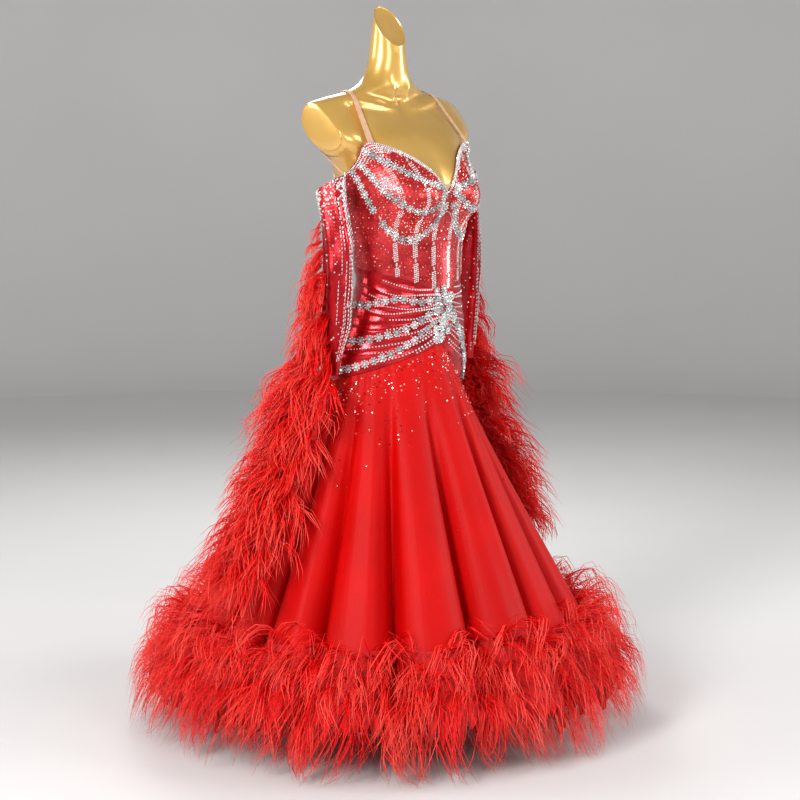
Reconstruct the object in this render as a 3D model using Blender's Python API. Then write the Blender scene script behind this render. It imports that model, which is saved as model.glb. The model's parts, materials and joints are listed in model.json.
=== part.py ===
"""Ballroom dance dress worn by a limbless dress form on a stand, at real size.

Metres, +Z up, the front faces -Y and the wearer's left is +X. Every piece of cloth is a wall laid round one
general figure: an angle says where round the body a point is (0 is the front, positive is the wearer's left)
and a height says how far it is above the floor.
"""

import math
from collections import namedtuple

import bmesh
import bpy
from mathutils import Vector
from mathutils.bvhtree import BVHTree

# Driving sizes of the garment
SEAM = 0.0003
CLOTH_EASE = 0.0004
BODICE_CLOTH = 0.0020
DRAPE_CLOTH = 0.0025
SKIRT_CLOTH = 0.0020
SLEEVE_CLOTH = 0.0016
HEM_HEIGHT = 0.140
HEM_RADIUS = 0.445
HEM_CENTRE_Y = 0.030
FLUTE_DEPTH = 0.030
FLUTE_LEAN = 0.07
GORE_COLUMNS = 13
GORE_UPPER_ROWS = 4
WAIST_GAP = 0.0012

# Driving sizes of the form and its stand
FORM_SLACK = 0.0042
FORM_BOTTOM = 0.640
NECK_CUT_SLOPE = 1.5
NECK_CUT_RISE = 0.0652
NECK_CUT_FORWARD = 0.006
NECK_CUT_HALF_WIDTH = 0.037
NECK_CUT_HALF_DEPTH = 0.028
ARM_CUT_TOP_X = 0.205
ARM_CUT_BOTTOM_X = 0.176
ARM_CUT_TOP_Z = 1.32
ARM_CUT_BOTTOM_Z = 1.16
FORM_SIDES = 30
POLE_RADIUS = 0.0125
BASE_RADIUS = 0.185
BASE_THICKNESS = 0.012

Section = namedtuple("Section", "height half_width half_depth centre_y")
Place = namedtuple("Place", "angle height")
Flute = namedtuple("Flute", "angle depth")
Fold = namedtuple("Fold", "side_height centre_height rise width")
Lock = namedtuple("Lock", "out up width thick")

FIGURE_SECTIONS = (
    Section(0.640, 0.150, 0.105, 0.015),
    Section(0.700, 0.162, 0.114, 0.012),
    Section(0.760, 0.167, 0.117, 0.004),
    Section(0.820, 0.155, 0.112, -0.010),
    Section(0.880, 0.135, 0.101, -0.025),
    Section(0.940, 0.122, 0.093, -0.033),
    Section(1.000, 0.127, 0.097, -0.028),
    Section(1.060, 0.137, 0.108, -0.019),
    Section(1.120, 0.148, 0.120, -0.012),
    Section(1.170, 0.156, 0.117, -0.003),
    Section(1.200, 0.174, 0.110, 0.004),
    Section(1.240, 0.226, 0.099, 0.018),
    Section(1.270, 0.246, 0.085, 0.034),
    Section(1.293, 0.240, 0.068, 0.042),
    Section(1.309, 0.216, 0.056, 0.043),
    Section(1.321, 0.176, 0.050, 0.040),
    Section(1.331, 0.128, 0.047, 0.036),
    Section(1.344, 0.087, 0.047, 0.032),
    Section(1.364, 0.062, 0.045, 0.030),
    Section(1.400, 0.048, 0.041, 0.028),
    Section(1.412, 0.046, 0.040, 0.0275),
)

# Edges of the garment's pieces, as heights round the body
NECKLINE = (
    Place(0, 1.132),
    Place(7, 1.154),
    Place(16, 1.184),
    Place(28, 1.216),
    Place(37, 1.230),
    Place(45, 1.231),
    Place(62, 1.206),
    Place(74, 1.188),
    Place(90, 1.166),
    Place(112, 1.130),
    Place(145, 1.100),
    Place(180, 1.085),
)
CUP_SEAM = (
    Place(0, 1.092),
    Place(18, 1.046),
    Place(40, 1.026),
    Place(60, 1.062),
    Place(72, 1.105),
)
DRAPE_TOP = (
    Place(-180, 0.985),
    Place(-90, 0.972),
    Place(-45, 0.956),
    Place(0, 0.930),
    Place(45, 0.952),
    Place(90, 0.972),
)
DRAPE_BOTTOM = (
    Place(-180, 0.716),
    Place(-90, 0.748),
    Place(-45, 0.778),
    Place(-18, 0.802),
    Place(2, 0.815),
    Place(20, 0.772),
    Place(45, 0.716),
    Place(90, 0.706),
)
FLUTES = (
    Flute(-162, 1.00),
    Flute(-143, 0.85),
    Flute(-126, 1.05),
    Flute(-109, 0.90),
    Flute(-92, 1.00),
    Flute(-76, 0.90),
    Flute(-56, 1.05),
    Flute(-31, 1.25),
    Flute(-6, 1.10),
    Flute(14, 1.00),
    Flute(34, 1.05),
    Flute(54, 0.90),
    Flute(74, 1.00),
    Flute(94, 0.95),
    Flute(115, 1.05),
    Flute(136, 0.90),
    Flute(157, 1.05),
    Flute(178, 0.95),
)
# Folds of the draped band, each from the gather at the front to a side seam
GATHER = Place(3, 0.868)
DRAPE_FOLDS = (
    Fold(0.955, 0.915, 0.0030, 0.0100),
    Fold(0.915, 0.902, 0.0038, 0.0110),
    Fold(0.872, 0.887, 0.0034, 0.0110),
    Fold(0.832, 0.870, 0.0042, 0.0120),
    Fold(0.795, 0.852, 0.0034, 0.0110),
    Fold(0.758, 0.834, 0.0030, 0.0100),
)
DRAPE_RELIEF = 0.0042
CUP_ANGLE = 66
CUP_SHARES = (0.0, 0.12, 0.26, 0.43, 0.61, 0.80, 1.0)
BODICE_LOW_ROWS = 4
SIDE_ANGLE = 108
DRAPE_SIDE_ANGLE = 100
DRAPE_COLUMNS = {"drape_front_right": 14, "drape_front_left": 13, "drape_back": 17}

# Beaded chains: paths on the cloth, in degrees and metres
CHAIN_LINK_WIDTH = 0.0040
CHAIN_LINK_RISE = 0.0015
CHAIN_BEAD_WIDTH = 0.0150
CHAIN_BEAD_RISE = 0.0052
CHAIN_SPACING = 0.0200
CHAIN_SEAT = 0.0005
CUP_SWAGS = {
    "swag_upper": (Place(54, 1.222), Place(42, 1.180), Place(27, 1.152), Place(10, 1.140)),
    "swag_middle": (Place(69, 1.196), Place(58, 1.130), Place(38, 1.096), Place(19, 1.103), Place(7, 1.128)),
    "swag_lower": (Place(79, 1.172), Place(68, 1.090), Place(42, 1.036), Place(19, 1.052), Place(5, 1.104)),
}
DRAPE_CHAINS = {
    "hip_chain_upper": (Place(-122, 0.900), Place(-85, 0.900), Place(-50, 0.914), Place(-25, 0.908), Place(-8, 0.912)),
    "hip_chain_middle": (Place(-122, 0.836), Place(-85, 0.826), Place(-50, 0.842), Place(-25, 0.866), Place(-9, 0.889)),
    "hip_chain_lower": (Place(-122, 0.766), Place(-85, 0.768), Place(-50, 0.796), Place(-25, 0.832), Place(-10, 0.864)),
    "hip_chain_left": (Place(12, 0.880), Place(24, 0.836), Place(38, 0.780), Place(50, 0.738)),
}
CLUSTER_COLUMNS = (-6.5, -3.2, 0.1, 3.4, 6.7, 10.0)
CLUSTER_BOTTOM = 0.828
CLUSTER_TOP = 0.926
CLUSTER_ROWS = 11

# Straps, sleeves and floats
STRAP_CLOTH = 0.0012
STRAP_LIFT = 0.0030
SLEEVE_STRAP_LIFT = 0.0040
STRAP_STATIONS = 24
STRAP_RAYS = 90
STRAP_FRONT_ANGLE = 41
STRAP_BACK_ANGLE = 137
Ring = namedtuple("Ring", "height x y half_width half_thick")
SLEEVE_RINGS = (
    Ring(1.150, 0.1990, -0.004, 0.0400, 0.0115),
    Ring(1.110, 0.1992, -0.010, 0.0375, 0.0120),
    Ring(1.060, 0.1995, -0.018, 0.0350, 0.0120),
    Ring(0.980, 0.2005, -0.020, 0.0335, 0.0115),
    Ring(0.900, 0.2015, -0.016, 0.0310, 0.0110),
    Ring(0.820, 0.2025, -0.010, 0.0280, 0.0105),
    Ring(0.762, 0.2030, -0.006, 0.0245, 0.0100),
)
SLEEVE_SIDES = 12
SLEEVE_TOP_SLANT = 0.45
SLEEVE_STRAP_WIDTH = 0.0070
SLEEVE_STRAP_TURN = -120
SLEEVE_STRAP_JOIN_Z = 1.240
FLOAT_STRIP_WIDTH = 0.012
FLOAT_STRIP_THICK = 0.0022
Knot = namedtuple("Knot", "x y z")
FLOAT_LINE = (
    Knot(0.2114, 0.002, 1.110),
    Knot(0.2115, -0.004, 1.020),
    Knot(0.2125, -0.002, 0.920),
    Knot(0.2155, 0.006, 0.800),
    Knot(0.2480, 0.022, 0.690),
    Knot(0.3080, 0.028, 0.570),
    Knot(0.3720, 0.034, 0.455),
    Knot(0.4200, 0.038, 0.375),
)
FloatLock = namedtuple("FloatLock", "height length width")
FLOAT_LOCKS = (
    FloatLock(1.110, 0.050, 0.018),
    FloatLock(1.000, 0.065, 0.020),
    FloatLock(0.890, 0.120, 0.024),
    FloatLock(0.780, 0.150, 0.026),
    FloatLock(0.600, 0.155, 0.028),
    FloatLock(0.450, 0.145, 0.028),
    FloatLock(0.370, 0.115, 0.026),
)
FLOAT_LOCK_COUNT = 42
FLOAT_SPLIT = 17
FLOAT_LOCK_LAP = 9
FLOAT_LOCK_THICK = 0.007

# Feather trim of the hem: each lock's profile is measured out from its root
HEM_STRIP_WIDTH = 0.012
HEM_STRIP_THICK = 0.0026
UPPER_STRIP_Z = 0.250
LOWER_STRIP_Z = 0.160
UPPER_LOCK = (Lock(0.058, 0.012, 0.026, 0.008), Lock(0.118, -0.050, 0.024, 0.007), Lock(0.142, -0.145, 0, 0))
LOWER_LOCK = (Lock(0.044, -0.030, 0.026, 0.008), Lock(0.062, -0.146, 0, 0))
LOCK_FILL = 0.84

FINISHES = {
    "gold": ((0.74, 0.52, 0.22), 0.22, 0.75),
    "steel": ((0.70, 0.71, 0.73), 0.25, 1.0),
    "lame": ((0.55, 0.02, 0.03), 0.30, 0.55),
    "stone_cloth": ((0.50, 0.03, 0.04), 0.38, 0.35),
    "crepe": ((0.80, 0.03, 0.02), 0.60, 0.0),
    "feather": ((0.85, 0.02, 0.01), 0.70, 0.0),
    "nude": ((0.80, 0.56, 0.44), 0.55, 0.0),
    "crystal": ((0.86, 0.87, 0.88), 0.15, 0.8),
}


def clear_scene():
    for old in list(bpy.data.objects):
        bpy.data.objects.remove(old)


def finish(name):
    """The Principled material of this name, made once."""
    if name in bpy.data.materials:
        return bpy.data.materials[name]
    colour, roughness, metallic = FINISHES[name]
    material = bpy.data.materials.new(name)
    material.use_nodes = True
    shader = material.node_tree.nodes["Principled BSDF"]
    shader.inputs["Base Color"].default_value = (*colour, 1.0)
    shader.inputs["Roughness"].default_value = roughness
    shader.inputs["Metallic"].default_value = metallic
    return material


def add_object(name, vertices, faces, finish_name):
    """One named solid, with its faces turned outwards."""
    mesh = bpy.data.meshes.new(name)
    mesh.from_pydata([tuple(v) for v in vertices], [], faces)
    shape = bmesh.new()
    shape.from_mesh(mesh)
    bmesh.ops.recalc_face_normals(shape, faces=shape.faces)
    shape.to_mesh(mesh)
    shape.free()
    mesh.materials.append(finish(finish_name))
    mesh.shade_smooth()
    mesh.set_sharp_from_angle(angle=math.radians(40))
    solid = bpy.data.objects.new(name, mesh)
    bpy.context.scene.collection.objects.link(solid)
    return solid


def hermite(knots, values, at):
    """Smooth value between knots, with each knot's slope taken across its neighbours."""
    at = min(max(at, knots[0]), knots[-1])
    last = len(knots) - 1
    k = 0
    while k < last - 1 and at > knots[k + 1]:
        k += 1
    span = knots[k + 1] - knots[k]
    t = (at - knots[k]) / span

    def slope(i):
        low, high = max(i - 1, 0), min(i + 1, last)
        return (values[high] - values[low]) / (knots[high] - knots[low])

    start, end = slope(k) * span, slope(k + 1) * span
    return (
        (2 * t**3 - 3 * t**2 + 1) * values[k]
        + (t**3 - 2 * t**2 + t) * start
        + (-2 * t**3 + 3 * t**2) * values[k + 1]
        + (t**3 - t**2) * end
    )


def section_at(sections, height):
    """The level section at a height, read smoothly between the rows of a table."""
    heights = [s.height for s in sections]
    return Section(height, *(hermite(heights, [s[c] for s in sections], height) for c in (1, 2, 3)))


def around(places, angle):
    """Height of an edge at an angle in degrees, read smoothly all the way round."""
    angle = (angle + 180) % 360 - 180
    rows = [Place(p.angle + turn, p.height) for turn in (-360, 0, 360) for p in places]
    rows.sort()
    return hermite([p.angle for p in rows], [p.height for p in rows], angle)


def mirrored_edge(places):
    """An edge given for the front and left side only, made the same on the right."""
    right = [Place(-p.angle, p.height) for p in places if 0 < p.angle < 180]
    return tuple(sorted(right + list(places)))


NECKLINE_ROUND = mirrored_edge(NECKLINE)


def bust(x, height):
    """How far the bust stands forward, from two soft mounds with a fuller underside and a bridged middle."""
    tall = 0.070 if height > 1.120 else 0.048
    side = 0.055 if abs(x) > 0.083 else 0.074
    across = (abs(x) - 0.083) / side
    up = (height - 1.120) / tall
    return 0.043 * math.exp(-across * across - up * up)


def figure(angle, height, out):
    """Point of the general figure at an angle in degrees and a height, moved out level by a distance."""
    s = section_at(FIGURE_SECTIONS, height)
    turn = math.radians(angle)
    x = s.half_width * math.sin(turn)
    y = s.centre_y - s.half_depth * math.cos(turn)
    front = min(max(math.cos(turn) / 0.5, 0.0), 1.0)
    y -= bust(x, height) * front * front * (3 - 2 * front)
    normal = Vector((math.sin(turn) / s.half_width, -math.cos(turn) / s.half_depth, 0)).normalized()
    return Vector((x, y, height)) + normal * out


def wall(name, finish_name, columns, rows, surface, thickness, relief=None, tube=False):
    """A closed wall of cloth on surface(column, row, out), plain inside and with its relief outside."""
    across, down = len(columns), len(rows)
    vertices = []
    for layer in (0, 1):
        for row in rows:
            for column in columns:
                rise = relief(column, row) if relief and layer else 0.0
                vertices.append(surface(column, row, layer * thickness + rise))
    outside = across * down

    def at(layer, i, j):
        return layer * outside + j * across + i % across

    faces = []
    spans = across if tube else across - 1
    for i in range(spans):
        for j in range(down - 1):
            for layer in (0, 1):
                faces.append((at(layer, i, j), at(layer, i + 1, j), at(layer, i + 1, j + 1), at(layer, i, j + 1)))
        for j in (0, down - 1):
            faces.append((at(0, i, j), at(0, i + 1, j), at(1, i + 1, j), at(1, i, j)))
    if not tube:
        for i in (0, across - 1):
            for j in range(down - 1):
                faces.append((at(0, i, j), at(0, i, j + 1), at(1, i, j + 1), at(1, i, j)))
    return add_object(name, vertices, faces, finish_name)


def spread(start, end, count):
    """Evenly spaced values from start to end."""
    return [start + (end - start) * k / (count - 1) for k in range(count)]


def seam_angles(start, end, count, radius=0.13):
    """Column angles between two seams, drawn in by half a seam's gap at each end."""
    gap = math.degrees(SEAM / 2 / radius)
    return spread(start + gap, end - gap, count)


def cloth_panel(name, finish_name, angles, bottom, top, shares, thickness, relief=None):
    """A panel on the figure between two edges, each a function of the angle and the distance out."""

    def surface(angle, share, out):
        low, high = bottom(angle, CLOTH_EASE + out), top(angle, CLOTH_EASE + out)
        if share in (0.0, 1.0):
            return high if share else low
        return figure(angle, low.z + (high.z - low.z) * share, CLOTH_EASE + out)

    def raised(angle, share):
        low, high = bottom(angle, CLOTH_EASE).z, top(angle, CLOTH_EASE).z
        return relief(angle, low + (high - low) * share)

    return wall(name, finish_name, angles, shares, surface, thickness, raised if relief else None)


def on_figure(edge, lift=0.0):
    """An edge given as heights round the body, laid on the figure."""
    return lambda angle, out: figure(angle, edge(angle) + lift, out)


def on_band(edge, lift):
    """An edge laid straight between the draped band's own columns, so that what meets the band fits it."""

    def point(angle, out):
        turn = (angle + DRAPE_SIDE_ANGLE) % 360 - DRAPE_SIDE_ANGLE
        k = max(i for i, column in enumerate(BAND_COLUMNS[:-1]) if column <= turn)
        start, end = BAND_COLUMNS[k], BAND_COLUMNS[k + 1]
        low, high = figure(start, edge(start), out), figure(end, edge(end), out)
        return low.lerp(high, (turn - start) / (end - start)) + Vector((0, 0, lift))

    return point


def cup_seam(angle):
    return around(mirrored_edge(CUP_SEAM + (Place(180, 1.105),)), angle)


def drape_top(angle):
    return around(DRAPE_TOP, angle)


def drape_bottom(angle):
    return around(DRAPE_BOTTOM, angle)


def neckline(angle):
    return around(NECKLINE_ROUND, angle)


def bodice_shares():
    """Rows of the side and back panels, which meet the rows of the cup and of the front at their seam."""
    low, seam, high = (edge(CUP_ANGLE) for edge in (drape_top, cup_seam, neckline))
    middle = (seam - low) / (high - low)
    below = spread(0.0, middle, BODICE_LOW_ROWS)
    return below + [middle + (1 - middle) * share for share in CUP_SHARES[1:]]


def build_bodice():
    """Two cups, a corset body under them, two sides, two back panels and the mesh at the notch."""
    half = SEAM / 2
    for side, sign in (("right", -1), ("left", 1)):
        front_ends = sorted((0, sign * CUP_ANGLE))
        cup_columns = seam_angles(*front_ends, 12)
        cloth_panel(
            f"cup_{side}",
            "stone_cloth",
            cup_columns,
            on_figure(cup_seam, half),
            on_figure(neckline),
            CUP_SHARES,
            BODICE_CLOTH,
        )
        cloth_panel(
            f"bodice_front_{side}",
            "stone_cloth",
            cup_columns,
            on_band(drape_top, half),
            on_figure(cup_seam, -half),
            spread(0.0, 1.0, BODICE_LOW_ROWS),
            BODICE_CLOTH,
        )
        side_ends = sorted((sign * CUP_ANGLE, sign * SIDE_ANGLE))
        back_ends = sorted((sign * SIDE_ANGLE, sign * 180))
        for part, ends, count in (("side", side_ends, 6), ("back", back_ends, 8)):
            cloth_panel(
                f"bodice_{part}_{side}",
                "stone_cloth",
                seam_angles(*ends, count),
                on_band(drape_top, half),
                on_figure(neckline),
                bodice_shares(),
                BODICE_CLOTH,
            )
    step = CUP_ANGLE / 11
    slope = (neckline(step) - neckline(0)) / step
    cloth_panel(
        "notch_mesh",
        "nude",
        [-4.0, 0.0, 4.0],
        on_figure(lambda a: neckline(0) + slope * abs(a), 2 * SEAM),
        on_figure(lambda a: neckline(0) + slope * 4.6, 2 * SEAM),
        [0.0, 1.0],
        BODICE_CLOTH / 2,
    )


def drape_relief(angle, height):
    """Height of the gathered folds, which run from the gather at the front out to each side."""
    side = min(abs(angle - GATHER.angle) / 95.0, 1.0)
    spread_out = side**0.75
    rise = 0.0
    for fold in DRAPE_FOLDS:
        line = fold.centre_height + (fold.side_height - fold.centre_height) * spread_out
        line -= 0.012 * math.sin(math.pi * side)
        width = fold.width * (0.55 + 0.45 * spread_out)
        rise = max(rise, fold.rise * math.exp(-(((height - line) / width) ** 2)))
    return rise


def band_columns():
    """Columns of the draped band all the way round, from its right side seam."""
    right = spread(-DRAPE_SIDE_ANGLE, GATHER.angle, DRAPE_COLUMNS["drape_front_right"])
    left = spread(GATHER.angle, DRAPE_SIDE_ANGLE, DRAPE_COLUMNS["drape_front_left"])
    back = spread(DRAPE_SIDE_ANGLE, 360 - DRAPE_SIDE_ANGLE, DRAPE_COLUMNS["drape_back"])
    return right + left[1:] + back[1:]


BAND_COLUMNS = band_columns()


def build_drape():
    """The gathered band over the waist and hips, in two fronts and a back."""
    half = SEAM / 2
    spans = {
        "drape_front_right": (-DRAPE_SIDE_ANGLE, GATHER.angle),
        "drape_front_left": (GATHER.angle, DRAPE_SIDE_ANGLE),
        "drape_back": (DRAPE_SIDE_ANGLE, 360 - DRAPE_SIDE_ANGLE),
    }
    for name, (start, end) in spans.items():
        back = name == "drape_back"
        cloth_panel(
            name,
            "lame",
            seam_angles(start, end, DRAPE_COLUMNS[name]),
            on_figure(drape_bottom, half),
            on_figure(drape_top, -half),
            spread(0.0, 1.0, 8 if back else 14),
            DRAPE_CLOTH,
            None if back else drape_relief,
        )


def flute_wave(angle):
    """Out-and-in wave of the skirt, 1 on a ridge and -1 in a narrower valley, and how far the flute leans there."""
    angles = [f.angle for f in FLUTES] + [FLUTES[0].angle + 360]
    depths = [f.depth for f in FLUTES] + [FLUTES[0].depth]
    angle = (angle - angles[0]) % 360 + angles[0]
    k = 0
    while angle > angles[k + 1]:
        k += 1
    phase = (angle - angles[k]) / (angles[k + 1] - angles[k])
    smooth = phase * phase * (3 - 2 * phase)
    depth = depths[k] + (depths[k + 1] - depths[k]) * smooth
    valley = math.sin(math.pi * phase) ** 2
    lean = FLUTE_LEAN * math.radians(angles[k + 1] - angles[k]) * math.sin(2 * math.pi * phase)
    return depth * (1 - 2 * valley**1.4), lean


def skirt_waist(angle):
    return on_band(drape_bottom, -WAIST_GAP)(angle, CLOTH_EASE)


def skirt(angle, height, out):
    """Point of the fluted skirt at a height, moved out level."""
    waist_point = skirt_waist(angle)
    top = waist_point.z
    share = min(max((top - height) / (top - HEM_HEIGHT), 0.0), 1.0)
    turn = math.radians(angle)
    hem_point = Vector((HEM_RADIUS * math.sin(turn), HEM_CENTRE_Y - HEM_RADIUS * math.cos(turn), 0))
    reach = share**1.06
    wave, lean = flute_wave(angle)
    level = Vector((waist_point.x, waist_point.y, 0)).lerp(hem_point, reach)
    centre = Vector((0, HEM_CENTRE_Y * reach, 0))
    spoke = level - centre
    radius = spoke.length
    heading = math.atan2(spoke.x, -spoke.y) + lean * share
    radius += FLUTE_DEPTH * wave * share**1.2 + out
    return centre + Vector((radius * math.sin(heading), -radius * math.cos(heading), height))


def skirt_seams():
    """Angles of the gore seams, each in the valley between two flutes."""
    starts = []
    for k in range(0, len(FLUTES), 2):
        before = FLUTES[k - 1].angle - (360 if k == 0 else 0)
        starts.append((before + FLUTES[k].angle) / 2)
    return starts + [starts[0] + 360]


def skirt_heights(top):
    """Rows of a gore from the waist down: even steps to the upper feather strip, the lower strip, the hem."""
    return spread(top, UPPER_STRIP_Z, GORE_UPPER_ROWS) + [LOWER_STRIP_Z, HEM_HEIGHT]


def build_skirt():
    """Nine gores of two flutes each, seamed in the valleys."""
    starts = skirt_seams()
    for k in range(len(starts) - 1):
        wall(
            f"skirt_gore_{k + 1}",
            "crepe",
            seam_angles(starts[k], starts[k + 1], GORE_COLUMNS, HEM_RADIUS * 0.5),
            range(GORE_UPPER_ROWS + 2),
            lambda angle, row, out: skirt(angle, skirt_heights(skirt_waist(angle).z)[row], out),
            SKIRT_CLOTH,
        )


def smooth_path(points, count):
    """Evenly parted points along a smooth curve through some points of any kind of numbers."""
    reach = [0.0]
    for a, b in zip(points, points[1:]):
        reach.append(reach[-1] + math.dist(a, b))
    axes = list(zip(*points))
    return [
        tuple(hermite(reach, axis, s) for axis in axes)
        for s in spread(0.0, reach[-1], count)
    ]


def solids_tree(names):
    """Search tree over the faces of some solids, to find where their surfaces are."""
    points, faces = [], []
    for name in names:
        mesh = bpy.data.objects[name].data
        base = len(points)
        points += [v.co.copy() for v in mesh.vertices]
        faces += [[base + i for i in p.vertices] for p in mesh.polygons]
    return BVHTree.FromPolygons(points, faces)


def clear_lift(tree, here, along, across, outward, reach, half_width):
    """How far out a flat base must move from here to clear everything under its footprint."""
    high = 0.030
    heights = []
    for s in spread(-1.0, 1.0, 11):
        for t in spread(-1.0, 1.0, 9):
            start = here + across * (s * half_width) + along * (t * reach) + outward * high
            hit = tree.ray_cast(start, -outward, 2 * high)[3]
            if hit is not None:
                heights.append(high - hit)
    return max(heights) + CHAIN_SEAT


def bead_chain(name, places, carriers):
    """A chain of domed beads laid on the cloth: a ring at each link and a wider, higher one at each bead."""
    tree = solids_tree(carriers)
    fine = smooth_path([(p.angle * 0.0024, p.height) for p in places], 60)
    line = [figure(a / 0.0024, z, BODICE_CLOTH) for a, z in fine]
    length = sum((b - a).length for a, b in zip(line, line[1:]))
    beads = max(round(length / CHAIN_SPACING), 2)
    stations = [Vector(p) for p in smooth_path([tuple(p) for p in line], 2 * beads + 1)]
    keys = smooth_path(fine, 2 * beads + 1)
    sections = []
    for k, here in enumerate(stations):
        before, after = stations[max(k - 1, 0)], stations[min(k + 1, len(stations) - 1)]
        along = (after - before).normalized()
        outward = surface_normal(keys[k][0] / 0.0024, keys[k][1])
        across = along.cross(outward).normalized()
        half_width = (CHAIN_BEAD_WIDTH if k % 2 else CHAIN_LINK_WIDTH) / 2
        rise = CHAIN_BEAD_RISE if k % 2 else CHAIN_LINK_RISE
        reach = CHAIN_SPACING * 0.56
        lift = clear_lift(tree, here, along, across, outward, reach, max(half_width, 0.006))
        sections.append((here + outward * lift, across * half_width, outward, rise))
    faces = [(0, 1, 2, 3)]
    for k in range(len(stations) - 1):
        for i in range(4):
            a, b = 4 * k + i, 4 * k + (i + 1) % 4
            faces.append((a, b, b + 4, a + 4))
    end = 4 * (len(stations) - 1)
    faces.append((end, end + 1, end + 2, end + 3))
    for step in range(12):
        vertices = []
        for here, half, outward, rise in sections:
            seat = here + outward * (step * SEAM)
            vertices += [seat - half, seat + half, seat + half * 0.55 + outward * rise, seat - half * 0.55 + outward * rise]
        if not tree.overlap(BVHTree.FromPolygons(vertices, faces)):
            break
    return add_object(name, vertices, faces, "crystal")


def surface_normal(angle, height):
    """Outward direction of the cloth there, from two small steps on it."""
    step_round = figure(angle + 1, height, 0) - figure(angle - 1, height, 0)
    step_up = figure(angle, height + 0.004, 0) - figure(angle, height - 0.004, 0)
    return step_round.cross(step_up).normalized()


def cluster_relief(angle, height):
    """Domed beads of the cluster, one at every other crossing of its columns and rows."""
    column = CLUSTER_COLUMNS.index(angle)
    row = round((height - CLUSTER_BOTTOM) / (CLUSTER_TOP - CLUSTER_BOTTOM) * (CLUSTER_ROWS - 1))
    return CHAIN_BEAD_RISE - CHAIN_LINK_RISE if (column + row) % 2 else 0.0


def build_chains():
    """Swags over each cup, chains over the draped band and the cluster at the gather."""
    for name, places in CUP_SWAGS.items():
        for side, sign in (("right", -1), ("left", 1)):
            path = [Place(sign * p.angle, p.height) for p in places]
            panels = [f"cup_{side}", f"bodice_side_{side}", f"bodice_front_{side}"]
            bead_chain(f"{name}_{side}", path, panels)
    band = ["drape_front_right", "drape_front_left", "drape_back"]
    for name, places in DRAPE_CHAINS.items():
        bead_chain(name, places, band)
    cover = CLOTH_EASE + DRAPE_CLOTH + DRAPE_RELIEF
    wall(
        "gather_cluster",
        "crystal",
        CLUSTER_COLUMNS,
        spread(CLUSTER_BOTTOM, CLUSTER_TOP, CLUSTER_ROWS),
        lambda angle, height, out: figure(angle, height, cover + out),
        CHAIN_LINK_RISE,
        cluster_relief,
    )


def build_form():
    """The smooth torso with its neck, cut flat at the arms and on a slant at the neck."""
    heights = [s.height for s in FIGURE_SECTIONS]
    angles = [360 * k / FORM_SIDES for k in range(FORM_SIDES)]
    vertices = []
    for height in heights:
        for angle in angles:
            point = figure(angle, height, -FORM_SLACK)
            share = (height - ARM_CUT_BOTTOM_Z) / (ARM_CUT_TOP_Z - ARM_CUT_BOTTOM_Z)
            cut = ARM_CUT_BOTTOM_X + (ARM_CUT_TOP_X - ARM_CUT_BOTTOM_X) * share
            point.x = min(max(point.x, -cut), cut)
            vertices.append(point)
    top = FIGURE_SECTIONS[-1]
    for angle in angles:
        turn = math.radians(angle)
        x = NECK_CUT_HALF_WIDTH * math.sin(turn)
        back = -NECK_CUT_FORWARD - NECK_CUT_HALF_DEPTH * math.cos(turn)
        vertices.append(Vector((x, top.centre_y + back, top.height + NECK_CUT_RISE + NECK_CUT_SLOPE * back)))
    rings = len(heights) + 1
    faces = [tuple(range(FORM_SIDES)), tuple((rings - 1) * FORM_SIDES + k for k in range(FORM_SIDES))]
    for j in range(rings - 1):
        for k in range(FORM_SIDES):
            a, b = j * FORM_SIDES + k, j * FORM_SIDES + (k + 1) % FORM_SIDES
            faces.append((a, b, b + FORM_SIDES, a + FORM_SIDES))
    return add_object("form_torso", vertices, faces, "gold")


def turned(name, finish_name, profile, sides):
    """A turned solid about the upright axis, from (radius, height) rows that start and end on the axis."""
    vertices = [Vector((0, 0, profile[0][1]))]
    for radius, height in profile[1:-1]:
        for k in range(sides):
            turn = 2 * math.pi * k / sides
            vertices.append(Vector((radius * math.cos(turn), radius * math.sin(turn), height)))
    vertices.append(Vector((0, 0, profile[-1][1])))
    faces = []
    rings = len(profile) - 2
    for k in range(sides):
        nxt = (k + 1) % sides
        faces.append((0, 1 + k, 1 + nxt))
        for j in range(rings - 1):
            a, b = 1 + j * sides + k, 1 + j * sides + nxt
            faces.append((a, b, b + sides, a + sides))
        end = 1 + (rings - 1) * sides
        faces.append((len(vertices) - 1, end + k, end + nxt))
    return add_object(name, vertices, faces, finish_name)


def build_stand():
    """Round base, pole with a collar at its foot, and the flange that takes the form."""
    bevel = 0.003
    turned(
        "stand_base",
        "steel",
        [
            (0, 0),
            (BASE_RADIUS, 0),
            (BASE_RADIUS, BASE_THICKNESS - bevel),
            (BASE_RADIUS - bevel, BASE_THICKNESS),
            (0, BASE_THICKNESS),
        ],
        40,
    )
    foot = BASE_THICKNESS + SEAM
    flange = FORM_BOTTOM - SEAM - 0.018
    turned(
        "stand_pole",
        "steel",
        [
            (0, foot),
            (0.034, foot),
            (0.034, foot + 0.008),
            (0.020, foot + 0.034),
            (POLE_RADIUS, foot + 0.036),
            (POLE_RADIUS, flange - 0.030),
            (0.019, flange - 0.028),
            (0.019, flange - SEAM),
            (0, flange - SEAM),
        ],
        20,
    )
    turned(
        "stand_flange",
        "steel",
        [(0, flange), (0.045, flange), (0.045, flange + 0.018), (0, flange + 0.018)],
        20,
    )


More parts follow.
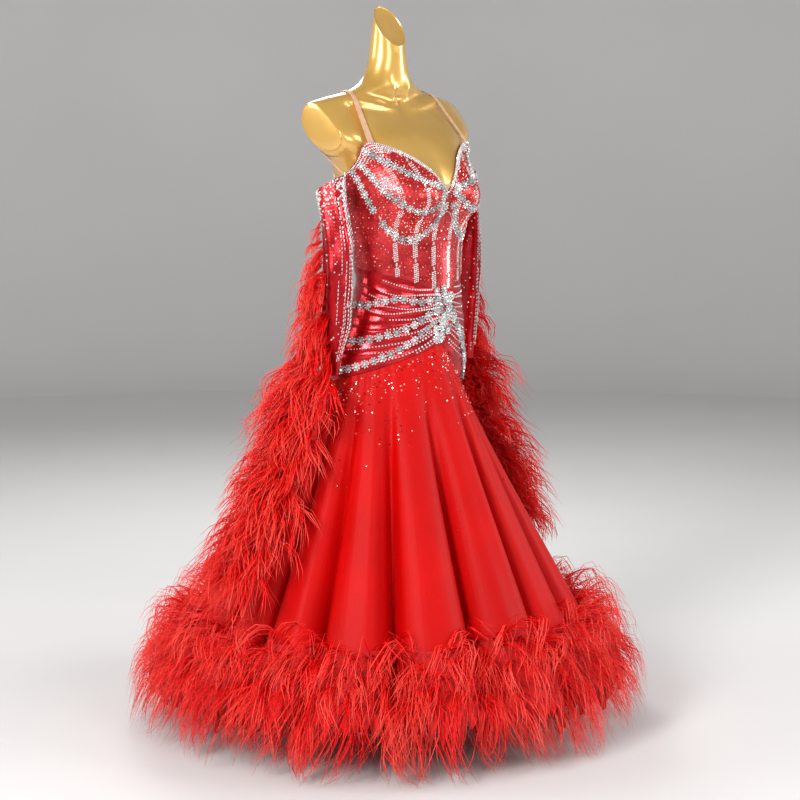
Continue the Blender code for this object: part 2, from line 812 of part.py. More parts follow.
def ribbon(name, finish_name, lefts, rights, thickness):
    """A flat strap from its two edge lines, thickened away from the body."""
    vertices = []
    last = len(lefts) - 1
    for k, (left, right) in enumerate(zip(lefts, rights)):
        along = lefts[min(k + 1, last)] - lefts[max(k - 1, 0)]
        outward = (right - left).cross(along).normalized()
        if outward.dot(Vector((left.x, left.y, 0.12))) < 0:
            outward.negate()
        vertices += [left, right, right + outward * thickness, left + outward * thickness]
    faces = [(0, 1, 2, 3), (4 * last, 4 * last + 1, 4 * last + 2, 4 * last + 3)]
    for k in range(last):
        for i in range(4):
            a, b = 4 * k + i, 4 * k + (i + 1) % 4
            faces.append((a, b, b + 4, a + 4))
    return add_object(name, vertices, faces, finish_name)


def taut_line(tree, start, end, side, lift):
    """A thread pulled tight over the form from start to end, in the plane of its ends and the side it goes round."""
    centre = (start + end) / 2
    level = (end - start).normalized()
    up = (side - level * side.dot(level)).normalized()
    points = []
    for turn in spread(math.pi, 0.0, STRAP_RAYS)[1:-1]:
        ray = level * math.cos(turn) + up * math.sin(turn)
        hit = tree.ray_cast(centre + ray * 0.5, -ray)[0]
        points.append(hit + ray * lift)
    hull = []
    for p in [start, *points, end]:
        while len(hull) > 1:
            before, ahead = hull[-1] - hull[-2], p - hull[-1]
            if before.dot(level) * ahead.dot(up) - before.dot(up) * ahead.dot(level) < 0:
                break
            hull.pop()
        hull.append(p)
    reach = [0.0]
    for a, b in zip(hull, hull[1:]):
        reach.append(reach[-1] + (b - a).length)
    line = []
    for t in spread(0.0, reach[-1], STRAP_STATIONS):
        k = max(i for i in range(len(hull) - 1) if reach[i] <= t + 1e-9)
        line.append(hull[k].lerp(hull[k + 1], min((t - reach[k]) / (reach[k + 1] - reach[k]), 1.0)))
    return line


def build_straps():
    """A nude strap over each shoulder, from the cup's peak to the back panel, and one that carries each sleeve."""
    tree = solids_tree(["form_torso"])
    middle_out = CLOTH_EASE + BODICE_CLOTH / 2
    off_edge = Vector((0, 0, 2 * SEAM))
    for side, sign in (("right", -1), ("left", 1)):
        edges = []
        for edge in (-1, 1):
            front_angle = sign * STRAP_FRONT_ANGLE + edge * sign * 2.0
            back_angle = sign * STRAP_BACK_ANGLE - edge * sign * 2.0
            front = figure(front_angle, neckline(front_angle), middle_out)
            back = figure(back_angle, neckline(back_angle), middle_out)
            edges.append(taut_line(tree, front + off_edge, back + off_edge, Vector((0, 0, 1)), STRAP_LIFT))
        ribbon(f"strap_{side}", "nude", edges[0], edges[1], STRAP_CLOTH)

        outer_back = [p for p in edges[1] if p.y > 0.06]
        lines = []
        for rise in (0.0, SLEEVE_STRAP_WIDTH):
            start = sleeve_point(SLEEVE_STRAP_TURN, SLEEVE_RINGS[0].height, SLEEVE_CLOTH / 2, sign)
            joint = min(outer_back, key=lambda p: abs(p.z - SLEEVE_STRAP_JOIN_Z - rise))
            end = Vector((joint.x + sign * 2 * SEAM, joint.y + 3 * SEAM, SLEEVE_STRAP_JOIN_Z + rise))
            start.z += 2 * SEAM + rise
            lines.append(taut_line(tree, start, end, Vector((sign, 1, 0)), SLEEVE_STRAP_LIFT))
        ribbon(f"sleeve_strap_{side}", "nude", lines[0], lines[1], STRAP_CLOTH)


def sleeve_ring(height):
    rows = sorted(SLEEVE_RINGS)
    heights = [r.height for r in rows]
    return Ring(height, *(hermite(heights, [r[c] for r in rows], height) for c in (1, 2, 3, 4)))


def sleeve_point(turn, height, out, sign):
    """Point of a flattened sleeve, where turn in degrees goes round its section and 0 faces away from the body."""
    ring = sleeve_ring(height)
    turn = math.radians(turn)
    y = ring.half_width * math.sin(turn)
    slant = SLEEVE_TOP_SLANT * max(height - 1.06, 0) / 0.09
    return Vector(
        (
            sign * (ring.x + (ring.half_thick - SLEEVE_CLOTH + out) * math.cos(turn)),
            ring.y + y * (ring.half_width - SLEEVE_CLOTH + out) / ring.half_width,
            height - slant * y,
        )
    )


def build_sleeves():
    """Flattened tubes that hang from the armhole, open at the top and the wrist."""
    for side, sign in (("right", -1), ("left", 1)):
        wall(
            f"sleeve_{side}",
            "lame",
            [360 * k / SLEEVE_SIDES for k in range(SLEEVE_SIDES)],
            [r.height for r in SLEEVE_RINGS],
            lambda turn, height, out: sleeve_point(turn, height, out, sign),
            SLEEVE_CLOTH,
            tube=True,
        )


def hem_lock(rows, heading, sector, root_radius, root_height, stretch):
    """Rings of four points for one hem lock, and its tip, kept inside its own sector of the hem."""
    turn = math.radians(heading)
    outward = Vector((math.sin(turn), -math.cos(turn), 0))
    across = Vector((math.cos(turn), math.sin(turn), 0))
    centre = Vector((0, HEM_CENTRE_Y, 0))
    reaches = [(root_radius, root_height)]
    reaches += [(root_radius + r.out * stretch, root_height + r.up * stretch) for r in rows]
    spots = [centre + outward * radius + Vector((0, 0, height)) for radius, height in reaches]
    rings = []
    for k, row in enumerate(rows[:-1], 1):
        normal = (spots[k + 1] - spots[k - 1]).cross(across).normalized()
        width = min(row.width, LOCK_FILL * math.radians(sector) * reaches[k][0])
        half, thick = across * (width / 2), normal * (row.thick / 2)
        spot = spots[k]
        rings.append([spot - half - thick, spot + half - thick, spot + half + thick, spot - half + thick])
    return rings, spots[-1]


def feather_strip(name, stations, locks, closed):
    """A backing strip of three-sided section with a feather lock fused to it at each place that has one.

    stations: (low, high, inner) points of each section. locks: span index to (rings, tip).
    """
    vertices = [p for station in stations for p in station]
    faces = []
    count = len(stations)
    for k in range(count if closed else count - 1):
        a, b = 3 * k, 3 * ((k + 1) % count)
        low_a, high_a, inner_a = a, a + 1, a + 2
        low_b, high_b, inner_b = b, b + 1, b + 2
        faces.append((low_a, low_b, inner_b, inner_a))
        faces.append((high_a, inner_a, inner_b, high_b))
        root = [low_a, low_b, high_b, high_a]
        if k not in locks:
            faces.append(tuple(root))
            continue
        rings, tip = locks[k]
        for ring in rings:
            base = len(vertices)
            vertices += ring
            nxt = [base, base + 1, base + 2, base + 3]
            for i in range(4):
                faces.append((root[i], root[(i + 1) % 4], nxt[(i + 1) % 4], nxt[i]))
            root = nxt
        vertices.append(tip)
        for i in range(4):
            faces.append((root[i], root[(i + 1) % 4], len(vertices) - 1))
    if not closed:
        faces.append((0, 1, 2))
        end = 3 * (count - 1)
        faces.append((end, end + 1, end + 2))
    return add_object(name, vertices, faces, "feather")


def build_hem_feathers():
    """Two rings of feather locks round the hem, each fused to a narrow strip outside the skirt.

    The strip turns at the gores' own columns. Locks take two of each three spans and spread evenly.
    """
    starts = skirt_seams()
    columns = [a for k in range(len(starts) - 1) for a in spread(starts[k], starts[k + 1], GORE_COLUMNS)[:-1]]
    near = SKIRT_CLOTH + 2 * SEAM
    half = HEM_STRIP_WIDTH / 2
    for name, height, rows, skipped in (
        ("hem_feathers_upper", UPPER_STRIP_Z, UPPER_LOCK, 2),
        ("hem_feathers_lower", LOWER_STRIP_Z, LOWER_LOCK, 0),
    ):
        stations = []
        for angle in columns:
            here, below = skirt(angle, height, near), skirt(angle, height - 2 * half, near)
            face = skirt(angle, height, near + HEM_STRIP_THICK)
            down = (below - here) * 0.5
            stations.append((face + down, face - down, here))
        locks = {}
        for k in range(len(columns)):
            if k % 3 == skipped:
                continue
            after = (k + 1) % len(columns)
            span = (columns[after] - columns[k]) % 360
            shift = -0.25 if (k - skipped) % 3 == 1 else 0.25
            root = sum((p for j in (k, after) for p in stations[j][:2]), Vector()) / 4
            radius = math.hypot(root.x, root.y - HEM_CENTRE_Y)
            stretch = 0.96 + 0.04 * math.sin(1.7 * k)
            locks[k] = hem_lock(rows, columns[k] + span * (0.5 + shift), 1.5 * span, radius, root.z, stretch)
        feather_strip(name, stations, locks, closed=True)


def float_lock(root, outward, along, across, fan, height):
    """One ring of four points and the tip of a float's lock, which stands off its strip and then falls along it."""
    rows = sorted(FLOAT_LOCKS)
    length, width = (hermite([r.height for r in rows], [r[c] for r in rows], height) for c in (1, 2))
    bend = root + outward * (0.35 * length) + along * (0.15 * length) + across * (0.22 * fan * length)
    tip = root + outward * (0.60 * length) + along * (0.90 * length) + across * (0.45 * fan * length)
    leg = (tip - root).normalized()
    flat = (across - leg * across.dot(leg)).normalized() * (width / 2)
    thin = leg.cross(flat).normalized() * (FLOAT_LOCK_THICK / 2)
    if thin.dot(outward) < 0:
        thin.negate()
    return [[bend - flat + thin, bend - flat - thin, bend + flat - thin, bend + flat + thin]], tip


def build_floats():
    """The feathered floats, each a strip down the outside of a sleeve and one over the skirt, with a lock at each span."""
    for side, sign in (("right", -1), ("left", 1)):
        points = smooth_path([(sign * k.x, k.y, k.z) for k in FLOAT_LINE], FLOAT_LOCK_COUNT + 1)
        line = [Vector(p) for p in points]
        last = len(line) - 1
        across = Vector((0, sign, 0))
        half = across * (FLOAT_STRIP_WIDTH / 2)
        stations, locks = [], {}
        for k, here in enumerate(line):
            along = (line[min(k + 1, last)] - line[max(k - 1, 0)]).normalized()
            outward = across.cross(along).normalized()
            if outward.x * sign < 0:
                outward.negate()
            face = here + outward * FLOAT_STRIP_THICK
            stations.append((face - half, face + half, here))
        for k in range(last):
            root = sum((p for j in (k, k + 1) for p in stations[j][:2]), Vector()) / 4
            along = (line[min(k + FLOAT_LOCK_LAP, last)] - line[k]).normalized()
            outward = across.cross(along).normalized()
            if outward.x * sign < 0:
                outward.negate()
            locks[k] = float_lock(root, outward, along, across, 1 if k % 2 else -1, root.z)
        for part, first, end in (("upper", 0, FLOAT_SPLIT), ("lower", FLOAT_SPLIT, last)):
            spans = [list(s) for s in stations[first : end + 1]]
            if first:
                step = (line[first + 1] - line[first]).normalized() * (2 * SEAM)
                spans[0] = [p + step for p in spans[0]]
            own = {k - first: locks[k] for k in range(first, end)}
            feather_strip(f"float_{part}_{side}", spans, own, closed=False)


def main():
    clear_scene()
    build_stand()
    build_form()
    build_bodice()
    build_drape()
    build_skirt()
    build_straps()
    build_sleeves()
    build_floats()
    build_hem_feathers()
    build_chains()


main()
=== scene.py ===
"""Looks of the ballroom dance dress on its gold form: fine cloth, stones and feathers over the measured part.

Metres, +Z up, the front faces -Y and the wearer's left is +X. An angle says where round the body a point is
(0 is the front, positive is the wearer's left) and a height says how far it is above the floor.
"""

import json
import math
import random
from collections import namedtuple
from functools import lru_cache

import bmesh
import bpy
from mathutils import Matrix, Vector, noise
from mathutils.bvhtree import BVHTree

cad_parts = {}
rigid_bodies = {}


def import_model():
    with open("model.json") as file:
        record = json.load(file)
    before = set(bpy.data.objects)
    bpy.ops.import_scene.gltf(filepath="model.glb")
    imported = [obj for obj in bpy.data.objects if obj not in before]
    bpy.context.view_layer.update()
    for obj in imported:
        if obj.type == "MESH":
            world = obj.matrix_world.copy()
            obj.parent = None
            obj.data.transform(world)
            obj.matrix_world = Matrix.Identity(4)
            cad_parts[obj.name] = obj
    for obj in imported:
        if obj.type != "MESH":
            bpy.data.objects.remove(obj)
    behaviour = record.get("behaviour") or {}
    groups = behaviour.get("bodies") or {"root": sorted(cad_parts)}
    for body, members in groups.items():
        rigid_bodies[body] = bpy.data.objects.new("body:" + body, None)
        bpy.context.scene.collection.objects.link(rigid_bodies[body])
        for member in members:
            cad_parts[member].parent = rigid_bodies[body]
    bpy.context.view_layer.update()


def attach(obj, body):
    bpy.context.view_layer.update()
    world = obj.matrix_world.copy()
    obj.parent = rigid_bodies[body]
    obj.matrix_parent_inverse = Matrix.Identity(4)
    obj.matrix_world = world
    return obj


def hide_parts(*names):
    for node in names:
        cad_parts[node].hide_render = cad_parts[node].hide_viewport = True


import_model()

# Gap between panels, and the least distance of cloth from the form
SEAM = 0.0003
CLOTH_EASE = 0.0004
WAIST_GAP = 0.0012
HEM_HEIGHT = 0.140
HEM_RADIUS = 0.445
HEM_CENTRE_Y = 0.030
FLUTE_DEPTH = 0.030
FLUTE_LEAN = 0.12
VALLEY_PINCH = 0.40
# How far the form lies inside the figure that the cloth follows, and its slanted cut at the neck
FORM_SLACK = 0.0042
NECK_CUT_SLOPE = 1.5
NECK_CUT_RISE = 0.0652
NECK_CUT_FORWARD = 0.006
NECK_CUT_HALF_WIDTH = 0.037
NECK_CUT_HALF_DEPTH = 0.028
# The flat cut at each arm leans outwards between these two heights
ARM_CUT_TOP_X, ARM_CUT_TOP_Z = 0.205, 1.32
ARM_CUT_BOTTOM_X, ARM_CUT_BOTTOM_Z = 0.176, 1.16
# Angles of the upright seams
CUP_ANGLE = 66
SIDE_ANGLE = 108
DRAPE_SIDE_ANGLE = 100
FLOOR_CLEAR = 0.006
# Barbs that stand out further from the hem's axis than the first are drawn in, and none passes the second
HEM_FREE_REACH = 0.500
HEM_REACH = 0.570
WISP_START = 0.150
FORM_SIDES = 112
SHOULDER_LINE = 1.19

# Thickness of each cloth as it is seen, and of the solid sleeve's wall that the sleeve's sections go round
FOIL_CLOTH = 0.0012
LAME_CLOTH = 0.0012
CREPE_CLOTH = 0.0011
SLEEVE_CLOTH = 0.0010
STRAP_CLOTH = 0.0010
MESH_CLOTH = 0.0008
SLEEVE_WALL = 0.0016

# Sleeves, straps and stand
SLEEVE_TOP, SLEEVE_BOTTOM = 1.150, 0.762
SLEEVE_SIDES = 56
STRAP_FRONT_ANGLE, STRAP_BACK_ANGLE, STRAP_HALF_ANGLE = 41, 137, 2.0
SLEEVE_STRAP_TURN, SLEEVE_STRAP_JOIN_Z, SLEEVE_STRAP_WIDTH = -120, 1.240, 0.0070
BASE_RADIUS, BASE_TOP = 0.185, 0.012
POLE_RADIUS = 0.0125
FLANGE_RADIUS, FLANGE_BOTTOM, FLANGE_TOP = 0.045, 0.6217, 0.6397

# Stones, rosettes and beads
STONE_SINK = 0.0002
CUP_ROSETTE_SPACING, HIP_ROSETTE_SPACING, SECOND_ROW_SPACING = 0.0166, 0.0180, 0.0165
CLUSTER_ROSETTES = 46
STRIP_COLUMN, STRIP_ROW = 0.0029, 0.0039
TRIM_SPACING = 0.0042
SKIRT_STONES = 1000
SLEEVE_STONES, SLEEVE_TOP_STONES = 560, 440
BEAD_SPACING, BEAD_LIFT, LOWEST_BEAD = 0.0084, 0.0026, 0.775
FEATHER_RUFFLE = 0.013
BARBS_A_CLUMP = 6
TUFT_ROOT = 0.006
DOWN_COLUMNS = 540
FLOAT_STATIONS = 121
UPRIGHT = Vector((0, 0, 1))
SIDES = (("right", -1), ("left", 1))

# Room under each cloth for its own folds and creases
CORSET_LIFT, BAND_LIFT, GORE_LIFT = 0.0006, 0.0010, 0.0004
BAND_FOLDS_TOP, BAND_FOLDS_BOTTOM = 0.966, 0.722
BUST_X, BUST_Z = 0.083, 1.120
# The photo's camera: metres, millimetres on a 36 mm sensor, and degrees below level and round from the front
CAMERA_PLACE, CAMERA_LENS, CAMERA_TILT, CAMERA_HEADING = (-3.093, -2.987, 1.30), 92.16, 8.107, -46.084

Section = namedtuple("Section", "height half_width half_depth centre_y")
Place = namedtuple("Place", "angle height")
Flute = namedtuple("Flute", "angle depth")
Ring = namedtuple("Ring", "height x y half_width half_thick")
Knot = namedtuple("Knot", "x y z")
Crease = namedtuple("Crease", "angle width rise start end")
Fold = namedtuple("Fold", "side_height centre_height rise width phase")
Copy = namedtuple("Copy", "where facing size kind tone")
Barbs = namedtuple("Barbs", "count steps length rise sweep fall stiffness")
Row = namedtuple("Row", "part templates height count node")
Trim = namedtuple("Trim", "edge lift nearest reach size")
Scatter = namedtuple("Scatter", "angle_step height_step low high on_cups size")
BeadString = namedtuple("BeadString", "turn top length")
Light = namedtuple("Light", "name place aim_height width height power")

FIGURE_SECTIONS = (
    Section(0.640, 0.150, 0.105, 0.015),
    Section(0.700, 0.162, 0.114, 0.012),
    Section(0.760, 0.167, 0.117, 0.004),
    Section(0.820, 0.155, 0.112, -0.010),
    Section(0.880, 0.135, 0.101, -0.025),
    Section(0.940, 0.122, 0.093, -0.033),
    Section(1.000, 0.127, 0.097, -0.028),
    Section(1.060, 0.137, 0.108, -0.019),
    Section(1.120, 0.148, 0.120, -0.012),
    Section(1.170, 0.156, 0.117, -0.003),
    Section(1.200, 0.174, 0.110, 0.004),
    Section(1.240, 0.226, 0.099, 0.018),
    Section(1.270, 0.246, 0.085, 0.034),
    Section(1.293, 0.240, 0.068, 0.042),
    Section(1.309, 0.216, 0.056, 0.043),
    Section(1.321, 0.176, 0.050, 0.040),
    Section(1.331, 0.128, 0.047, 0.036),
    Section(1.344, 0.087, 0.047, 0.032),
    Section(1.364, 0.062, 0.045, 0.030),
    Section(1.400, 0.048, 0.041, 0.028),
    Section(1.412, 0.046, 0.040, 0.0275),
)
NECKLINE = (
    Place(0, 1.132),
    Place(7, 1.154),
    Place(16, 1.184),
    Place(28, 1.216),
    Place(37, 1.230),
    Place(45, 1.231),
    Place(62, 1.206),
    Place(74, 1.188),
    Place(90, 1.166),
    Place(112, 1.130),
    Place(145, 1.100),
    Place(180, 1.085),
)
CUP_SEAM = (
    Place(0, 1.092),
    Place(18, 1.046),
    Place(40, 1.026),
    Place(60, 1.062),
    Place(72, 1.105),
    Place(180, 1.105),
)
DRAPE_TOP = (
    Place(-180, 0.985),
    Place(-90, 0.972),
    Place(-45, 0.956),
    Place(0, 0.930),
    Place(45, 0.952),
    Place(90, 0.972),
)
DRAPE_BOTTOM = (
    Place(-180, 0.716),
    Place(-90, 0.748),
    Place(-45, 0.778),
    Place(-18, 0.802),
    Place(2, 0.815),
    Place(20, 0.772),
    Place(45, 0.716),
    Place(90, 0.706),
)
FLUTES = (
    Flute(-162, 1.00),
    Flute(-143, 0.85),
    Flute(-126, 1.05),
    Flute(-109, 0.90),
    Flute(-92, 1.00),
    Flute(-76, 0.90),
    Flute(-56, 1.05),
    Flute(-31, 1.25),
    Flute(-6, 1.10),
    Flute(14, 1.00),
    Flute(34, 1.05),
    Flute(54, 0.90),
    Flute(74, 1.00),
    Flute(94, 0.95),
    Flute(115, 1.05),
    Flute(136, 0.90),
    Flute(157, 1.05),
    Flute(178, 0.95),
)
GATHER = Place(3, 0.868)
SLEEVE_RINGS = (
    Ring(1.150, 0.1990, -0.004, 0.0400, 0.0115),
    Ring(1.110, 0.1992, -0.010, 0.0375, 0.0120),
    Ring(1.060, 0.1995, -0.018, 0.0350, 0.0120),
    Ring(0.980, 0.2005, -0.020, 0.0335, 0.0115),
    Ring(0.900, 0.2015, -0.016, 0.0310, 0.0110),
    Ring(0.820, 0.2025, -0.010, 0.0280, 0.0105),
    Ring(0.762, 0.2030, -0.006, 0.0245, 0.0100),
)
SLEEVE_TOP_SLANT = 0.45
FLOAT_LINE = (
    Knot(0.2114, 0.002, 1.110),
    Knot(0.2115, -0.004, 1.020),
    Knot(0.2125, -0.002, 0.920),
    Knot(0.2155, 0.006, 0.800),
    Knot(0.2480, 0.022, 0.690),
    Knot(0.3080, 0.028, 0.570),
    Knot(0.3720, 0.034, 0.455),
    Knot(0.4200, 0.038, 0.375),
)
# Chains of rosettes: paths on the cloth
CUP_SWAGS = {
    "swag_upper": (Place(54, 1.222), Place(42, 1.180), Place(27, 1.152), Place(10, 1.140)),
    "swag_middle": (Place(69, 1.196), Place(58, 1.130), Place(38, 1.096), Place(19, 1.103), Place(7, 1.128)),
    "swag_lower": (Place(79, 1.172), Place(68, 1.090), Place(42, 1.036), Place(19, 1.052), Place(5, 1.104)),
}
DRAPE_CHAINS = {
    "hip_chain_upper": (Place(-122, 0.900), Place(-85, 0.900), Place(-50, 0.914), Place(-25, 0.908), Place(-8, 0.912)),
    "hip_chain_middle": (Place(-122, 0.836), Place(-85, 0.826), Place(-50, 0.842), Place(-25, 0.866), Place(-9, 0.889)),
    "hip_chain_lower": (Place(-122, 0.766), Place(-85, 0.768), Place(-50, 0.796), Place(-25, 0.832), Place(-10, 0.864)),
    "hip_chain_left": (Place(12, 0.880), Place(24, 0.836), Place(38, 0.780), Place(50, 0.738)),
}
STRIP_ANGLES = (10, 30, 50)
# Strings of bugle beads from the front and inner edge of each sleeve
BEAD_STRINGS = (
    BeadString(-108, 1.150, 0.24),
    BeadString(-94, 1.146, 0.17),
    BeadString(-84, 1.142, 0.13),
    BeadString(-74, 1.13, 0.19),
    BeadString(-100, 0.95, 0.15),
    BeadString(-64, 1.02, 0.12),
    BeadString(-52, 0.99, 0.16),
    BeadString(-58, 0.90, 0.11),
    BeadString(-80, 0.94, 0.14),
    BeadString(-36, 1.06, 0.10),
    BeadString(-90, 0.90, 0.10),
    BeadString(-70, 0.91, 0.12),
    BeadString(-26, 0.95, 0.09),
    BeadString(-46, 1.11, 0.10),
)
SKIRT_STONE_TONES = (0.08, 0.12, 0.3, 0.4, 0.5, 0.95)
# Rings of an arm's plate: share of the cut's outline, and lift off the cut
PLATE_RINGS = (
    (0.94, -0.0020),
    (0.965, 0.0006),
    (0.955, 0.0016),
    (0.93, 0.0021),
    (0.75, 0.0030),
    (0.45, 0.0038),
    (0.15, 0.0041),
)
# Section of the down ring: how far out from the skirt, and height
DOWN_PROFILE = (
    (0.003, 0.246),
    (0.008, 0.248),
    (0.014, 0.232),
    (0.018, 0.200),
    (0.020, 0.170),
    (0.024, 0.142),
    (0.032, 0.112),
    (0.024, 0.108),
    (0.010, 0.134),
    (0.004, 0.142),
)
# Barbs of one tuft. length: (shortest, longest). rise: (lowest, highest) start in degrees. sweep: half angle to
# either side. fall: direction that the barbs bend to. stiffness: (least, most) share of the length that stands out.
UPPER_TUFT = Barbs(22, 7, (0.150, 0.230), (-42, 48), 52, Vector((0.24, 0, -1)), (0.7, 1.5))
LOWER_TUFT = Barbs(24, 4, (0.220, 0.290), (-72, -14), 38, Vector((0.52, 0, -1)), (0.6, 1.4))
HIGH_TUFT = Barbs(20, 5, (0.070, 0.145), (-68, 8), 42, Vector((0.12, 0, -1)), (0.2, 0.9))
LOW_TUFT = Barbs(20, 5, (0.120, 0.200), (-56, 14), 54, Vector((0.36, 0, -0.9)), (0.3, 1.0))
LIGHTS = (
    Light("key_light", (-3.4, -0.9, 2.5), 0.8, 0.9, 1.3, 135),
    Light("front_light", (-1.2, -3.7, 2.2), 0.8, 1.2, 1.2, 34),
    Light("right_light", (3.0, -2.0, 1.5), 0.8, 0.7, 2.0, 48),
    Light("chest_light", (1.7, -3.0, 3.1), 1.25, 1.8, 1.3, 44),
    Light("plate_light", (-3.0, 2.4, 1.8), 1.1, 1.3, 1.7, 48),
    Light("back_light", (1.6, 2.4, 2.6), 1.0, 1.2, 1.2, 45),
)
# Roughly how far one degree round the body is, so that paths are smoothed in like units
METRES_A_DEGREE = 0.0024


def hermite(knots, values, at):
    """Smooth value between knots, with each knot's slope taken across its neighbours."""
    at = min(max(at, knots[0]), knots[-1])
    last = len(knots) - 1
    k = 0
    while k < last - 1 and at > knots[k + 1]:
        k += 1
    span = knots[k + 1] - knots[k]
    t = (at - knots[k]) / span

    def slope(i):
        low, high = max(i - 1, 0), min(i + 1, last)
        return (values[high] - values[low]) / (knots[high] - knots[low])

    start, end = slope(k) * span, slope(k + 1) * span
    return (
        (2 * t**3 - 3 * t**2 + 1) * values[k]
        + (t**3 - 2 * t**2 + t) * start
        + (-2 * t**3 + 3 * t**2) * values[k + 1]
        + (t**3 - t**2) * end
    )


SECTION_HEIGHTS = [s.height for s in FIGURE_SECTIONS]
SECTION_COLUMNS = [[s[c] for s in FIGURE_SECTIONS] for c in (1, 2, 3)]


@lru_cache(maxsize=200000)
def section_at(height):
    return Section(height, *(hermite(SECTION_HEIGHTS, values, height) for values in SECTION_COLUMNS))


@lru_cache(maxsize=200000)
def around(places, angle):
    """Height of an edge at an angle in degrees, read smoothly all the way round."""
    angle = (angle + 180) % 360 - 180
    rows = [Place(p.angle + turn, p.height) for turn in (-360, 0, 360) for p in places]
    rows.sort()
    return hermite([p.angle for p in rows], [p.height for p in rows], angle)


def mirrored_edge(places):
    right = [Place(-p.angle, p.height) for p in places if 0 < p.angle < 180]
    return tuple(sorted(right + list(places)))


NECKLINE_ROUND = mirrored_edge(NECKLINE)
CUP_SEAM_ROUND = mirrored_edge(CUP_SEAM)


def neckline(angle):
    return around(NECKLINE_ROUND, angle)


def cup_seam(angle):
    return around(CUP_SEAM_ROUND, angle)


def drape_top(angle):
    return around(DRAPE_TOP, angle)


def drape_bottom(angle):
    return around(DRAPE_BOTTOM, angle)


def bust(x, height):
    """How far the bust stands forward, from two soft mounds with a fuller underside and a bridged middle."""
    tall = 0.070 if height > BUST_Z else 0.048
    side = 0.055 if abs(x) > BUST_X else 0.074
    across = (abs(x) - BUST_X) / side
    up = (height - BUST_Z) / tall
    return 0.043 * math.exp(-across * across - up * up)


def figure(angle, height, out):
    """Point of the general figure at an angle in degrees and a height, moved out level by a distance."""
    s = section_at(height)
    turn = math.radians(angle)
    x = s.half_width * math.sin(turn)
    y = s.centre_y - s.half_depth * math.cos(turn)
    front = min(max(math.cos(turn) / 0.5, 0.0), 1.0)
    y -= bust(x, height) * front * front * (3 - 2 * front)
    normal = Vector((math.sin(turn) / s.half_width, -math.cos(turn) / s.half_depth, 0)).normalized()
    return Vector((x, y, height)) + normal * out


def surface_normal(angle, height):
    step_round = figure(angle + 1, height, 0) - figure(angle - 1, height, 0)
    step_up = figure(angle, height + 0.004, 0) - figure(angle, height - 0.004, 0)
    return step_round.cross(step_up).normalized()


def flute_wave(angle):
    """Out-and-in wave of the skirt, 1 on a ridge and -1 in a narrower valley, and how far the flute leans there."""
    angles = [f.angle for f in FLUTES] + [FLUTES[0].angle + 360]
    depths = [f.depth for f in FLUTES] + [FLUTES[0].depth]
    angle = (angle - angles[0]) % 360 + angles[0]
    k = 0
    while angle > angles[k + 1]:
        k += 1
    phase = (angle - angles[k]) / (angles[k + 1] - angles[k])
    smooth = phase * phase * (3 - 2 * phase)
    depth = depths[k] + (depths[k + 1] - depths[k]) * smooth
    valley = math.sin(math.pi * phase) ** 2
    lean = FLUTE_LEAN * math.radians(angles[k + 1] - angles[k]) * math.sin(2 * math.pi * phase)
    return depth * (1 - 2 * valley**1.4 - VALLEY_PINCH * valley**4), lean


def skirt(angle, share, out):
    """Point of the fluted skirt a share of the way down from the band, moved out level."""
    turn = math.radians(angle)
    waist = figure(angle, drape_bottom(angle), CLOTH_EASE)
    top = waist.z - WAIST_GAP
    height = top + (HEM_HEIGHT - top) * share
    hem_point = Vector((HEM_RADIUS * math.sin(turn), HEM_CENTRE_Y - HEM_RADIUS * math.cos(turn), 0))
    reach = share**1.06
    wave, lean = flute_wave(angle)
    level = Vector((waist.x, waist.y, 0)).lerp(hem_point, reach)
    centre = Vector((0, HEM_CENTRE_Y * reach, 0))
    spoke = level - centre
    radius = spoke.length
    heading = math.atan2(spoke.x, -spoke.y) + lean * share
    radius += FLUTE_DEPTH * wave * share**1.2 + out
    return centre + Vector((radius * math.sin(heading), -radius * math.cos(heading), height))


def skirt_seams():
    """Angles of the gore seams, each in the valley between two flutes."""
    starts = []
    for k in range(0, len(FLUTES), 2):
        before = FLUTES[k - 1].angle - (360 if k == 0 else 0)
        starts.append((before + FLUTES[k].angle) / 2)
    return starts + [starts[0] + 360]


def sleeve_point(turn, height, out, sign):
    """Point of a flattened sleeve, where turn in degrees goes round its section and 0 faces away from the body."""
    rows = sorted(SLEEVE_RINGS)
    heights = [r.height for r in rows]
    ring = Ring(height, *(hermite(heights, [r[c] for r in rows], height) for c in (1, 2, 3, 4)))
    turn = math.radians(turn)
    y = ring.half_width * math.sin(turn)
    slant = SLEEVE_TOP_SLANT * max(height - 1.06, 0) / 0.09
    if sign < 0:
        y -= 0.017 * max(-math.sin(turn), 0) * ease((1.12 - height) / 0.12) * ease((height - 0.79) / 0.08)
    x = sign * (ring.x + (ring.half_thick - SLEEVE_WALL + out) * math.cos(turn))
    return Vector((x, ring.y + y * (ring.half_width - SLEEVE_WALL + out) / ring.half_width, height - slant * y))


def spread(start, end, count):
    return [start + (end - start) * k / (count - 1) for k in range(count)]


def ease(t):
    t = min(max(t, 0.0), 1.0)
    return t * t * (3 - 2 * t)


def noise_round(angle, reach, height):
    """Noise that joins up over a full turn."""
    turn = math.radians(angle)
    return noise.noise(Vector((math.cos(turn) * reach, math.sin(turn) * reach, height)))


def ring_faces(first, sides, rings):
    """Quads between rings of points that follow each other in a list."""
    faces = []
    for j in range(rings - 1):
        for k in range(sides):
            a, b = first + j * sides + k, first + j * sides + (k + 1) % sides
            faces.append((a, b, b + sides, a + sides))
    return faces


def path_lengths(points):
    """How far along a path each of its points lies."""
    reach = [0.0]
    for a, b in zip(points, points[1:]):
        reach.append(reach[-1] + (b - a).length)
    return reach


